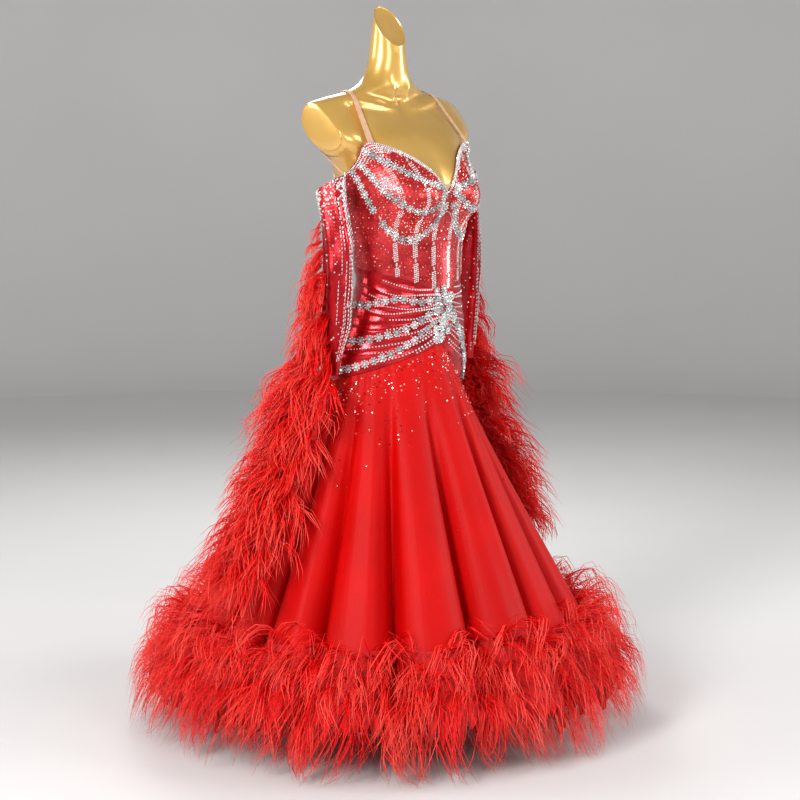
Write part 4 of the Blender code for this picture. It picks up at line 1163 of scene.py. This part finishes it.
def build_straps():
    """Nude straps over the shoulders and a narrower one that carries each sleeve; returns the first ones' edges."""
    tree = search_tree(["gold_form"])
    lift = Vector((0, 0, 2 * SEAM))
    lines = {}
    for side, sign in SIDES:
        edges = []
        for edge in (-1, 1):
            front_angle = sign * STRAP_FRONT_ANGLE + edge * sign * STRAP_HALF_ANGLE
            back_angle = sign * STRAP_BACK_ANGLE - edge * sign * STRAP_HALF_ANGLE
            front = figure(front_angle, neckline(front_angle), CLOTH_EASE + 0.0010)
            back = figure(back_angle, neckline(back_angle), CLOTH_EASE + 0.0010)
            edges.append(taut_line(tree, front + lift, back + lift, UPRIGHT, 60, 0.0014))
        strap = ribbon(f"shoulder_band_{side}", "nude", edges[0], edges[1], STRAP_CLOTH)
        declare_cloth(strap, "nude", [f"strap_{side}"])
        outer = [p for p in edges[1] if p.y > 0.06]
        pair = []
        for rise in (0.0, SLEEVE_STRAP_WIDTH):
            start = sleeve_point(SLEEVE_STRAP_TURN, SLEEVE_TOP, 0.0008, sign)
            start.z += 2 * SEAM + rise
            joint = min(outer, key=lambda p: abs(p.z - SLEEVE_STRAP_JOIN_Z - rise))
            end = Vector((joint.x + sign * 2 * SEAM, joint.y + SEAM, SLEEVE_STRAP_JOIN_Z + rise))
            pair.append(taut_line(tree, start, end, Vector((sign, 1, 0)), 48, 0.0020))
        carrier = ribbon(f"sleeve_band_{side}", "nude", pair[0], pair[1], STRAP_CLOTH)
        del carrier["cut"]
        declare(carrier, "nude", f"sleeve_strap_{side}")
        lines[side] = edges
    return lines


def search_tree(names):
    """One tree for ray casts on the faces of some pieces."""
    points, faces = [], []
    for name in names:
        mesh = bpy.data.objects[name].data
        base = len(points)
        points += [v.co.copy() for v in mesh.vertices]
        faces += [[base + i for i in p.vertices] for p in mesh.polygons]
    return BVHTree.FromPolygons(points, faces)


# ---- copies on points: one tree for stones, rosettes, bugles and feather tufts -----------------------------------


def copies_tree():
    """Geometry Nodes: a template on each point, picked, turned, sized and toned by the point's own attributes."""
    tree = bpy.data.node_groups.new("copies_on_points", "GeometryNodeTree")
    face = tree.interface
    face.new_socket(name="Geometry", in_out="INPUT", socket_type="NodeSocketGeometry")
    face.new_socket(name="Templates", in_out="INPUT", socket_type="NodeSocketCollection")
    face.new_socket(name="Material", in_out="INPUT", socket_type="NodeSocketMaterial")
    face.new_socket(name="Size", in_out="INPUT", socket_type="NodeSocketFloat").default_value = 1.0
    face.new_socket(name="Ruffle", in_out="INPUT", socket_type="NodeSocketFloat").default_value = 0.0
    face.new_socket(name="Geometry", in_out="OUTPUT", socket_type="NodeSocketGeometry")
    new, link = tree.nodes.new, tree.links.new
    given, result = new("NodeGroupInput"), new("NodeGroupOutput")

    def attribute(name, kind):
        named = new("GeometryNodeInputNamedAttribute")
        named.data_type = kind
        named.inputs["Name"].default_value = name
        return named.outputs["Attribute"]

    def scaled(vector, factor):
        product = new("ShaderNodeVectorMath")
        product.operation = "SCALE"
        link(vector, product.inputs[0])
        link(factor, product.inputs["Scale"])
        return product.outputs["Vector"]

    source = new("GeometryNodeCollectionInfo")
    source.inputs["Separate Children"].default_value = True
    source.inputs["Reset Children"].default_value = True
    link(given.outputs["Templates"], source.inputs["Collection"])
    turn = new("FunctionNodeEulerToRotation")
    link(attribute("facing", "FLOAT_VECTOR"), turn.inputs[0])
    place = new("GeometryNodeInstanceOnPoints")
    place.inputs["Pick Instance"].default_value = True
    link(source.outputs["Instances"], place.inputs["Instance"])
    link(given.outputs["Geometry"], place.inputs["Points"])
    link(attribute("kind", "INT"), place.inputs["Instance Index"])
    link(turn.outputs[0], place.inputs["Rotation"])
    link(scaled(attribute("size", "FLOAT_VECTOR"), given.outputs["Size"]), place.inputs["Scale"])
    real = new("GeometryNodeRealizeInstances")
    link(place.outputs["Instances"], real.inputs["Geometry"])
    # Ruffle: a soft noise in place moves the barbs, so that no two tufts look alike
    wind = new("ShaderNodeTexNoise")
    wind.inputs["Scale"].default_value = 26.0
    wind.inputs["Detail"].default_value = 1.0
    centred = new("ShaderNodeVectorMath")
    centred.operation = "SUBTRACT"
    centred.inputs[1].default_value = (0.5, 0.5, 0.5)
    link(wind.outputs["Color"], centred.inputs[0])
    move = new("GeometryNodeSetPosition")
    link(real.outputs["Geometry"], move.inputs["Geometry"])
    link(scaled(centred.outputs["Vector"], given.outputs["Ruffle"]), move.inputs["Offset"])
    coat = new("GeometryNodeSetMaterial")
    link(move.outputs["Geometry"], coat.inputs["Geometry"])
    link(given.outputs["Material"], coat.inputs["Material"])
    link(coat.outputs["Geometry"], result.inputs["Geometry"])
    return tree


COPIES = copies_tree()
TEMPLATE_GROUPS = []


def template_set(name, shapes, smooth=False):
    """A collection of template meshes, kept out of the scene; shapes are (vertices, faces, reach at each vertex), where
    a stone's reach is its painted facet shade.
    """
    group = bpy.data.collections.new(name)
    for k, (vertices, faces, reach) in enumerate(shapes):
        mesh = bpy.data.meshes.new(f"{name}_{k:02d}")
        mesh.from_pydata([tuple(v) for v in vertices], [], faces)
        mesh.attributes.new("reach", "FLOAT", "POINT").data.foreach_set("value", reach)
        if smooth:
            mesh.shade_smooth()
        group.objects.link(bpy.data.objects.new(f"{name}_{k:02d}", mesh))
    TEMPLATE_GROUPS.append(group)
    return group


def remove_templates():
    """Takes the template meshes out again, once every copy is part of a plain mesh."""
    for group in TEMPLATE_GROUPS:
        for template in list(group.objects):
            bpy.data.objects.remove(template)
        bpy.data.collections.remove(group)


def copies(name, templates, material, items, size=1.0, ruffle=0.0):
    """A plain mesh of all the copies, made by the tree and then freed of it."""
    mesh = bpy.data.meshes.new(name + "_points")
    mesh.from_pydata([tuple(i.where) for i in items], [], [])
    for label, kind, slot, values in (
        ("facing", "FLOAT_VECTOR", "vector", [c for i in items for c in i.facing]),
        ("size", "FLOAT_VECTOR", "vector", [c for i in items for c in i.size]),
        ("kind", "INT", "value", [i.kind for i in items]),
        ("tone", "FLOAT", "value", [i.tone for i in items]),
    ):
        mesh.attributes.new(label, kind, "POINT").data.foreach_set(slot, values)
    holder = bpy.data.objects.new(name, mesh)
    bpy.context.scene.collection.objects.link(holder)
    modifier = holder.modifiers.new("copies", "NODES")
    modifier.node_group = COPIES
    sockets = {s.name: s.identifier for s in COPIES.interface.items_tree if s.in_out == "INPUT"}
    modifier[sockets["Templates"]] = templates
    modifier[sockets["Material"]] = MATERIALS[material]
    modifier[sockets["Size"]] = size
    modifier[sockets["Ruffle"]] = ruffle
    bpy.context.view_layer.update()
    graph = bpy.context.evaluated_depsgraph_get()
    result = bpy.data.meshes.new_from_object(
        holder.evaluated_get(graph), preserve_all_data_layers=True, depsgraph=graph
    )
    holder.modifiers.remove(modifier)
    holder.data = result
    bpy.data.meshes.remove(mesh)
    result.name = name
    if not result.materials:
        result.materials.append(MATERIALS[material])
    return holder


def gem(sides, radius, height, table, at=(0, 0, 0), turn=0.0):
    """A cut stone: flat back, sloping crown and table."""
    vertices = []
    for share, up in ((1.0, 0.0), (table, 1.0)):
        for k in range(sides):
            a = 2 * math.pi * (k + turn) / sides
            x, y = radius * share * math.cos(a), radius * share * math.sin(a)
            vertices.append((at[0] + x, at[1] + y, at[2] + height * up))
    faces = [(k, (k + 1) % sides, sides + (k + 1) % sides, sides + k) for k in range(sides)]
    faces.append(tuple(reversed(range(sides))))
    faces.append(tuple(sides + k for k in range(sides)))
    return vertices, faces


def joined(parts):
    """Stones as one template, each with a painted shade on its girdle and a painted highlight on its table, as values
    for its material to read.
    """
    vertices, faces, painted_facet_shades = [], [], []
    for k, (part_vertices, part_faces) in enumerate(parts):
        base, half = len(vertices), len(part_vertices) // 2
        vertices += part_vertices
        # Painted facet light: 0.22 for painted shade on the girdle, and a lighter value for a painted highlight on the
        # table
        painted_facet_shades += [0.22] * half + [0.55 + 0.45 * (((k + 1) * 0.618) % 1)] * half
        faces += [tuple(base + i for i in f) for f in part_faces]
    return vertices, faces, painted_facet_shades


def rosette():
    """A big round stone in a ring of eight small ones on a metal cup, 16 mm across."""
    parts = [gem(8, 0.0050, 0.0012, 0.9), gem(8, 0.0038, 0.0030, 0.5, (0, 0, 0.0016))]
    for k in range(8):
        a = 2 * math.pi * k / 8
        points, faces = gem(5, 0.0022, 0.0024, 0.45, turn=k * 0.37)
        lean = Matrix.Rotation(a, 3, "Z") @ Matrix.Rotation(0.55, 3, "Y")
        middle = Vector((0.0058 * math.cos(a), 0.0058 * math.sin(a), 0.0012))
        parts.append(([tuple(lean @ Vector(p) + middle) for p in points], faces))
    return joined(parts)


def facing(normal, along=None, spin=0.0):
    """Euler angles that stand a template's Z on the normal, with its X along a direction."""
    along = along or (UPRIGHT if abs(normal.z) < 0.9 else Vector((1, 0, 0)))
    y = normal.cross(along).normalized()
    x = y.cross(normal).normalized()
    turn = Matrix((x, y, normal)).transposed() @ Matrix.Rotation(spin, 3, "Z")
    return tuple(turn.to_euler())


def seat(tree, angle, height):
    """Place and outward direction on the fine cloth nearest to an angle and a height, or two Nones."""
    normal = surface_normal(angle, height)
    hit = tree.ray_cast(figure(angle, height, 0) + normal * 0.03, -normal, 0.06)[0]
    if hit is None:
        return None, None
    return hit - normal * STONE_SINK, normal


def path_on_body(places, spacing, sign=1):
    """Angles and heights along a path on the body, evenly spaced on the cloth."""
    fine = smooth_path([(sign * p.angle * METRES_A_DEGREE, p.height) for p in places], 80)
    reach = path_lengths([figure(a / METRES_A_DEGREE, z, 0.002) for a, z in fine])
    count = max(int(reach[-1] / spacing), 1)
    marks = []
    for k in range(count + 1):
        at = reach[-1] * k / count
        i = max(j for j in range(len(reach) - 1) if reach[j] <= at + 1e-9)
        t = min((at - reach[i]) / (reach[i + 1] - reach[i]), 1.0)
        marks.append(tuple(fine[i][c] + (fine[i + 1][c] - fine[i][c]) * t for c in (0, 1)))
    return [(a / METRES_A_DEGREE, z) for a, z in marks]


def build_rosettes(tree, templates):
    """Rosette chains on the cups, the band and down the left hip, and the cluster at the gather."""
    draw = random.Random(5)

    def item(angle, height, size):
        where, normal = seat(tree, angle, height)
        if where is None:
            return None
        along = figure(angle + 1, height, 0) - figure(angle - 1, height, 0)
        turned = facing(normal, along, draw.uniform(0, 0.8))
        return Copy(where, turned, (size, size, size), 0, draw.uniform(0.3, 1.0))

    def group(name, node, items):
        declare(copies(name, templates, "crystal", [i for i in items if i]), "crystal", node)

    for name, places in CUP_SWAGS.items():
        for side, sign in SIDES:
            marks = path_on_body(places, CUP_ROSETTE_SPACING, sign)
            group(f"rosettes_{name}_{side}", f"{name}_{side}", [item(a, z, draw.uniform(1.08, 1.20)) for a, z in marks])
    for name, places in DRAPE_CHAINS.items():
        items = [item(a, z, draw.uniform(1.10, 1.24)) for a, z in path_on_body(places, HIP_ROSETTE_SPACING)]
        if name == "hip_chain_left":
            items += [item(a + 3.0, z + 0.006, 1.0) for a, z in path_on_body(places, SECOND_ROW_SPACING)]
        group(f"rosettes_{name}", name, items)
    items = []
    for _ in range(CLUSTER_ROSETTES):
        angle, height = draw.uniform(-7.5, 11.5), draw.uniform(0.826, 0.936)
        items.append(item(angle, height, draw.uniform(0.85, 1.2)))
    group("rosette_cluster", "gather_cluster", items)


def stone_item(where, normal, along, size, draw):
    """A stone that lies on a normal with a tone and a spin of its own."""
    tone = draw.uniform(0.45, 1.1)
    return Copy(where, facing(normal, along, draw.uniform(0, 1)), (size, size, size), 0, tone)


TRIMS = (
    Trim(neckline, -0.0024, 0, 180, 1.15),
    Trim(neckline, -0.0068, 4, 74, 1.25),
    Trim(neckline, -0.0112, 16, 70, 1.15),
    Trim(neckline, -0.0156, 34, 64, 1.15),
    Trim(neckline, -0.0200, 36, 56, 1.05),
    Trim(cup_seam, 0.0, 0, 66, 0.85),
)
SCATTERS = (
    Scatter(2.6, 0.0052, cup_seam, neckline, True, (0.8, 1.3)),
    Scatter(4.4, 0.0090, drape_top, cup_seam, True, (0.8, 1.15)),
    Scatter(5.0, 0.0100, drape_top, neckline, False, (0.8, 1.15)),
)


def strip_stones(draw, add):
    """Upright strips on the corset, three stones wide, with a long stone now and then."""
    for sign in (-1, 1):
        for strip in STRIP_ANGLES:
            low, high = drape_top(sign * strip) + 0.003, neckline(sign * strip) - 0.004
            count = int((high - low) / STRIP_ROW)
            next_long = draw.randint(5, 12)
            k = 0
            while k < count:
                height = low + (high - low) * k / count
                lean = -0.06 * sign * (height - low) * 100 * (strip / 50)
                if k == next_long:
                    add(sign * strip + lean, height + 0.0036, 1.5, 0.45, 1.9, UPRIGHT)
                    next_long += draw.randint(10, 17)
                    k += 3
                    continue
                step = math.degrees(STRIP_COLUMN / section_at(height).half_depth)
                for side in (-1, 0, 1):
                    add(sign * strip + lean + side * step, height + 0.0011 * side, draw.uniform(0.95, 1.10))
                k += 1


def trim_stones(draw, add):
    """Rows along the neckline and the cup seams."""
    for edge, lift, nearest, reach, size in TRIMS:
        angle = -reach
        while angle < reach:
            if abs(angle) >= nearest:
                add(angle, edge(angle) + lift, size * draw.uniform(0.85, 1.1))
            point, after = figure(angle, edge(angle), 0), figure(angle + 0.5, edge(angle + 0.5), 0)
            angle += 0.5 * TRIM_SPACING / max((after - point).length, 1e-5)


def fold_stones(draw, add):
    """Lines along the band's folds, bigger towards the gather."""
    for fold in BAND_FOLDS:
        for sign in (-1, 1):
            reach = draw.uniform(56, 92) if sign < 0 else draw.uniform(24, 40)
            angle = GATHER.angle + sign * 7
            while abs(angle - GATHER.angle) < reach:
                height = fold_height(fold, angle) + 0.0015
                if drape_bottom(angle) + 0.004 < height < drape_top(angle) - 0.003:
                    near = 1 - abs(angle - GATHER.angle) / reach
                    add(angle, height, 1.05 + 0.55 * near * near)
                angle += sign * (2.3 + 0.8 * abs(angle - GATHER.angle) / reach)


def scattered_stones(draw, add):
    """Red stones on an uneven grid, dense on the cups and sparser elsewhere."""
    for angle_step, height_step, low, high, on_cups, size in SCATTERS:
        row, height = 0, 0.90
        while height < 1.24:
            angle = -180 + (row % 2) * angle_step / 2
            while angle < 180:
                a = angle + draw.uniform(-0.30, 0.30) * angle_step
                z = height + draw.uniform(-0.3, 0.3) * height_step
                inside = abs(a) < CUP_ANGLE if on_cups else abs(a) > CUP_ANGLE
                if inside and low(a) + 0.003 < z < high(a) - 0.004:
                    add(a, z, draw.uniform(*size), 0.22 + 0.9 * draw.random() ** 1.5)
                angle += angle_step
            height += height_step
            row += 1


def skirt_stones(draw, tree):
    """Red stones on the skirt's top, thinning out downwards."""
    items = []
    for _ in range(SKIRT_STONES):
        angle = draw.uniform(-180, 180)
        share = min(-0.085 * math.log(1 - draw.random() * 0.985), 0.42) + 0.012
        outward = Vector((math.sin(math.radians(angle)), -math.cos(math.radians(angle)), 0))
        hit, normal, _, _ = tree.ray_cast(skirt(angle, share, 0) + outward * 0.03, -outward, 0.06)
        if hit is not None:
            normal = normal if normal.dot(outward) > 0 else -normal
            turned, size = facing(normal, None, draw.uniform(0, 1)), draw.uniform(1.0, 1.35)
            items.append(Copy(hit - normal * STONE_SINK, turned, (size,) * 3, 0, draw.choice(SKIRT_STONE_TONES)))
    return items


def strap_stones(draw, strap_lines, clear, ruby):
    """Clear and red stones on the stretch of each strap behind the shoulder."""
    for lefts, rights in strap_lines.values():
        for k in range(len(lefts) - 1):
            left, right = lefts[k], rights[k]
            if left.y < 0.045:
                continue
            along = (lefts[k + 1] - left).normalized()
            normal = off_strap(left, right, along)
            for share in (0.2, 0.5, 0.8):
                for half in (0.0, 0.5):
                    where = left.lerp(right, share).lerp(lefts[k + 1].lerp(rights[k + 1], share), half)
                    bag = clear if draw.random() < 0.4 else ruby
                    bag.append(stone_item(where + normal * STRAP_CLOTH, normal, along, 0.72, draw))


def build_stones(tree, templates, skirt_tree, strap_lines):
    """Clear stones in strips, trims and lines, and red stones scattered over the corset and the skirt's top."""
    draw = random.Random(23)
    clear, ruby = [], []

    def adder(bag):
        """A function that puts stones in one bag, each seated on the body's cloth."""

        def add(angle, height, size, tone=None, stretch=1.0, along=None):
            where, normal = seat(tree, angle, height)
            if where is not None:
                turned = facing(normal, along or UPRIGHT, 0 if along else draw.uniform(0, 1))
                tone = draw.uniform(0.45, 1.1) if tone is None else tone
                bag.append(Copy(where, turned, (size * stretch, size, size), 0, tone))

        return add

    strip_stones(draw, adder(clear))
    trim_stones(draw, adder(clear))
    fold_stones(draw, adder(clear))
    scattered_stones(draw, adder(ruby))
    ruby += skirt_stones(draw, skirt_tree)
    strap_stones(draw, strap_lines, clear, ruby)
    declare(copies("clear_stones", templates, "crystal", clear), "crystal")
    declare(copies("red_stones", templates, "ruby", ruby), "crystal")


def build_sleeve_stones(templates, bugles):
    """Stones over the top of each sleeve and down its edges, and strings of bugle beads."""
    draw = random.Random(77)
    stones, beads = [], []
    for sign in (-1, 1):
        for k in range(SLEEVE_STONES):
            turn = draw.uniform(0, 360)
            height = 1.148 - abs(draw.gauss(0, 0.034)) if k < SLEEVE_TOP_STONES else draw.uniform(0.78, 1.10)
            here = sleeve_point(turn, height, 0.0011 + sleeve_creases(turn, height), sign)
            ahead = sleeve_point(turn + 1, height, 0.0011, sign) - sleeve_point(turn - 1, height, 0.0011, sign)
            normal = Vector((ahead.y, -ahead.x, 0)).normalized()
            if normal.dot(here - sleeve_point(turn + 180, height, 0, sign)) < 0:
                normal.negate()
            stones.append(stone_item(here - normal * STONE_SINK, normal, None, draw.uniform(0.8, 1.3), draw))
        for k in range(SLEEVE_SIDES):
            here = sleeve_point(360 * k / SLEEVE_SIDES, 1.149, 0.0008, sign)
            stones.append(Copy(here + UPRIGHT * STONE_SINK, (0, 0, 0), (0.8, 0.8, 0.8), 0, draw.random()))
        for turn, top, length in BEAD_STRINGS:
            at = 0.0
            while at < length and top - at >= LOWEST_BEAD:
                height = top - at
                here = sleeve_point(turn, height, BEAD_LIFT + sleeve_creases(turn, height), sign)
                below = sleeve_point(turn, height - 0.006, BEAD_LIFT + sleeve_creases(turn, height - 0.006), sign)
                turned = facing((here - below).normalized(), Vector((1, 0, 0)))
                beads.append(Copy(here, turned, (1, 1, 1), 0, draw.uniform(0.4, 1.0)))
                at += BEAD_SPACING
    declare(copies("sleeve_stones", templates, "crystal", stones), "crystal")
    declare(copies("bugle_strings", bugles, "crystal", beads), "crystal")


# ---- feathers --------------------------------------------------------------------------------------------------


# Three corners round a barb, in radians
BARB_CORNERS = (0.0, 2.094, 4.189)


def add_barb(vertices, faces, reaches, path, width):
    """A closed three-sided barb that tapers along its path to a point."""
    base = len(vertices)
    last = len(path) - 1
    for k in range(last):
        direction = (path[k + 1] - path[max(k - 1, 0)]).normalized()
        side = direction.cross(Vector((0.31, 0.2, 0.93))).normalized()
        other = direction.cross(side)
        radius = width / 2 * (1.0 - 0.72 * k / last)
        for t in BARB_CORNERS:
            vertices.append(path[k] + side * (radius * math.cos(t)) + other * (radius * 0.6 * math.sin(t)))
            reaches.append(k / last)
    vertices.append(path[last])
    reaches.append(1.0)
    faces.append((base, base + 1, base + 2))
    for k in range(last - 1):
        for i in range(3):
            a, b = base + 3 * k + i, base + 3 * k + (i + 1) % 3
            faces.append((a, a + 3, b + 3, b))
    end = base + 3 * (last - 1)
    for i in range(3):
        faces.append((end + i, len(vertices) - 1, end + (i + 1) % 3))


def tuft(draw, shape):
    """A spray of barbs from one root that start out and up, then fall; x is away from the garment."""
    vertices, faces, reaches = [], [], []
    for k in range(shape.count):
        if k % BARBS_A_CLUMP == 0:
            up, aside = draw.uniform(*shape.rise), draw.uniform(-shape.sweep, shape.sweep)
            long, stiff = draw.uniform(*shape.length), draw.uniform(*shape.stiffness)
            curl = Vector((draw.gauss(0, 0.20), draw.gauss(0, 0.45), draw.gauss(0, 0.15)))
            base = Vector((0, draw.uniform(-1, 1) * TUFT_ROOT, draw.uniform(-1, 1) * TUFT_ROOT))
        stray = 3.0 if k % BARBS_A_CLUMP == BARBS_A_CLUMP - 1 else 1.0
        rising = math.radians(up + draw.gauss(0, 5.0) * stray)
        turning = math.radians(aside + draw.gauss(0, 6.0) * stray)
        level = math.cos(rising)
        heading = Vector((level * math.cos(turning), level * math.sin(turning), math.sin(rising)))
        own_length = long * draw.uniform(0.70, 1.0)
        own_curl = curl + Vector((0, draw.gauss(0, 0.10), draw.gauss(0, 0.06))) * stray
        here = base + Vector((0, draw.uniform(-1, 1), draw.uniform(-1, 1))) * 0.0015
        path = [here]
        for s in range(shape.steps):
            bend = ease(((s + 0.5) / shape.steps - stiff * 0.25) / (1.0 - stiff * 0.4))
            way = (heading * (1 - bend) + (shape.fall + own_curl * bend) * bend).normalized()
            here = here + way * (own_length / shape.steps)
            path.append(here)
        widths = (0.0036, 0.0052) if draw.random() > 0.64 else (0.0018, 0.0030)
        add_barb(vertices, faces, reaches, path, draw.uniform(*widths))
    return vertices, faces, reaches


def tufts(name, draw, kinds, shape):
    """A set of so many different tufts of one shape."""
    return template_set(name, [tuft(draw, shape) for _ in range(kinds)], smooth=True)


def settle(piece):
    """Tips lie on the floor instead of passing through it, and the widest ones curl in before the hem's own reach."""
    room = HEM_REACH - HEM_FREE_REACH
    for v in piece.data.vertices:
        reach = math.hypot(v.co.x, v.co.y - HEM_CENTRE_Y)
        if reach > HEM_FREE_REACH:
            kept = (HEM_FREE_REACH + room * math.tanh((reach - HEM_FREE_REACH) / room)) / reach
            v.co.x *= kept
            v.co.y = HEM_CENTRE_Y + (v.co.y - HEM_CENTRE_Y) * kept
        if v.co.z < FLOOR_CLEAR:
            v.co.z = FLOOR_CLEAR + 0.15 * abs(v.co.z)


def skirt_root(angle, height):
    """Place on the skirt's outside at a height below the band, and the way out from it."""
    top = drape_bottom(angle)
    share = (top - height) / (top - HEM_HEIGHT)
    point = skirt(angle, share, 0.003)
    out = Vector((point.x, point.y - HEM_CENTRE_Y, 0)).normalized()
    return point, out


def build_hem():
    """The shaggy ostrich hem: an upper spray that fountains out and falls, and a lower fringe to the floor."""
    draw = random.Random(99)
    upper = tufts("upper_tuft", draw, 8, UPPER_TUFT)
    lower = tufts("lower_tuft", draw, 6, LOWER_TUFT)
    rows = (
        Row("upper", upper, 0.240, 112, "hem_feathers_upper"),
        Row("upper", upper, 0.200, 100, "hem_feathers_upper"),
        Row("lower", lower, 0.182, 158, "hem_feathers_lower"),
    )
    bags = {}
    for row in rows:
        kinds = len(row.templates.objects)
        for k in range(row.count):
            angle = -180 + 360 * (k + draw.uniform(-0.4, 0.4)) / row.count
            point, out = skirt_root(angle, row.height + draw.uniform(-0.010, 0.010))
            heading = math.atan2(out.y, out.x) + draw.gauss(0, 0.22)
            size = draw.uniform(0.80, 1.0)
            turned = (draw.gauss(0, 0.10), draw.gauss(0, 0.08), heading)
            item = Copy(point, turned, (size,) * 3, draw.randrange(kinds), draw.uniform(0.45, 1.25))
            half = "front" if abs(angle + 46) < 90 or abs(angle - 314) < 90 else "back"
            bags.setdefault((f"plumes_{row.part}_{half}", row.templates, row.node), []).append(item)
    for (name, templates, node), items in bags.items():
        piece = copies(name, templates, "feather", items, ruffle=FEATHER_RUFFLE)
        settle(piece)
        declare(piece, "feather", node)


def build_down_painted_shade():
    """The matted inner ring of the hem, seen only between the barbs, its dark red painted shade for their depth:
    furrowed above, pointed wisps below.
    """
    draw = random.Random(41)
    vertices, faces = [], []
    for k in range(DOWN_COLUMNS):
        angle = -180 + 360 * k / DOWN_COLUMNS
        wisp = draw.uniform(0.25, 1.0) if k % 2 else 0.0
        for out_reach, height in DOWN_PROFILE:
            point, out = skirt_root(angle, max(height, HEM_HEIGHT))
            lump = 1 + 0.22 * noise_round(angle, 9, height * 26)
            furrow = 0.55 * noise.noise(Vector((angle * 0.75, 3.0, height * 12)))
            place = point + out * (out_reach * (lump + furrow))
            place.z = height + (0.016 - 0.066 * wisp) * ease((WISP_START - height) / 0.04)
            vertices.append(place)
    rows = len(DOWN_PROFILE)
    for k in range(DOWN_COLUMNS):
        here, after = k * rows, (k + 1) % DOWN_COLUMNS * rows
        for j in range(rows):
            below = (j + 1) % rows
            faces.append((here + j, after + j, after + below, here + below))
    declare(mesh_object("hem_down", vertices, faces, "down"), "feather", "hem_feathers_upper")


def build_floats():
    """The feathered floats: sprays down the outside of each sleeve and on over the skirt to the hem."""
    draw = random.Random(63)
    templates = {"upper": tufts("high_tuft", draw, 6, HIGH_TUFT), "lower": tufts("low_tuft", draw, 6, LOW_TUFT)}
    for side, sign in SIDES:
        line = [Vector(p) for p in smooth_path([(sign * k.x, k.y, k.z) for k in FLOAT_LINE], FLOAT_STATIONS)]
        bags = {"upper": [], "lower": []}
        for k, here in enumerate(line[:-1]):
            if here.z > 1.078:
                continue
            share = k / (FLOAT_STATIONS - 1)
            part = "upper" if here.z > 0.80 else "lower"
            for _ in range(1 if share < 0.12 else 2 if share > 0.35 else 1 + (k % 2)):
                across = draw.uniform(-1, 1) * (0.004 + 0.030 * ease(share / 0.5)) + 0.012 * (1 - ease(share / 0.6))
                where = here + Vector((sign * 0.002, across, draw.uniform(-0.004, 0.004)))
                away = 0 if sign > 0 else math.pi
                heading = away + sign * (across * 14 + 0.5 * (1 - ease(share / 0.7))) + draw.gauss(0, 0.26)
                size = (0.30 + 0.70 * ease(share / 0.36)) * draw.uniform(0.82, 1.05)
                turned = (draw.gauss(0, 0.1), draw.gauss(0, 0.08), heading)
                bags[part].append(Copy(where, turned, (size,) * 3, draw.randrange(6), draw.uniform(0.4, 1.2)))
        for part, items in bags.items():
            name = f"float_{part}_plumes_{side}"
            piece = copies(name, templates[part], "feather", items, ruffle=FEATHER_RUFFLE)
            settle(piece)
            declare(piece, "feather", f"float_{part}_{side}")


# ---- studio ----------------------------------------------------------------------------------------------------


def build_studio():
    """Round floor that curves up into a backdrop, six soft lights, a dim sky and the photo's camera."""
    cove = [(5.2 + 1.6 * math.sin(t), 1.6 - 1.6 * math.cos(t)) for t in spread(0.15, math.pi / 2, 9)]
    rows = [(5.2, 0)] + cove + [(6.8, 4.5)]
    sides = 72
    vertices = [Vector((0, 0, 0))]
    for radius, height in rows:
        vertices += circle(radius, height, sides)
    faces = [(0, 1 + k, 1 + (k + 1) % sides) for k in range(sides)] + ring_faces(1, sides, len(rows))
    mesh_object("studio_floor", vertices, faces, "floor", outward=False)

    scene = bpy.context.scene
    for name, place, aim_height, width, height, power in LIGHTS:
        light = bpy.data.lights.new(name, "AREA")
        light.shape = "RECTANGLE"
        light.size, light.size_y = width, height
        light.energy = power
        holder = bpy.data.objects.new(name, light)
        holder.location = place
        aim = Vector((0, 0, aim_height)) - Vector(place)
        holder.rotation_euler = aim.to_track_quat("-Z", "Y").to_euler()
        scene.collection.objects.link(holder)
    world = bpy.data.worlds.new("studio_air")
    scene.world = world
    world.use_nodes = True
    background = world.node_tree.nodes["Background"]
    background.inputs["Color"].default_value = (0.85, 0.87, 0.90, 1)
    background.inputs["Strength"].default_value = 0.26

    camera = bpy.data.cameras.new("camera")
    camera.sensor_width = 36
    camera.lens = CAMERA_LENS
    holder = bpy.data.objects.new("camera", camera)
    holder.location = CAMERA_PLACE
    holder.rotation_euler = (math.radians(90 - CAMERA_TILT), 0, math.radians(CAMERA_HEADING))
    scene.collection.objects.link(holder)
    scene.camera = holder
    scene.view_settings.view_transform = "Standard"


build_form()
build_arm_plates()
build_stand()
foil = build_bodice()
bands = build_band()
gores = build_skirt()
strap_lines = build_straps()
build_sleeves()
body_tree = search_tree([p.name for p in foil + bands])
gore_tree = search_tree([p.name for p in gores])
rosettes = template_set("rosette", [rosette()])
stones = template_set("stone", [joined([gem(6, 0.0019, 0.0015, 0.55)])])
bugles = template_set("bugle", [joined([gem(5, 0.0010, 0.0056, 0.9)])])
build_rosettes(body_tree, rosettes)
build_stones(body_tree, stones, gore_tree, strap_lines)
build_sleeve_stones(stones, bugles)
build_down_painted_shade()
build_hem()
build_floats()
build_studio()
remove_templates()
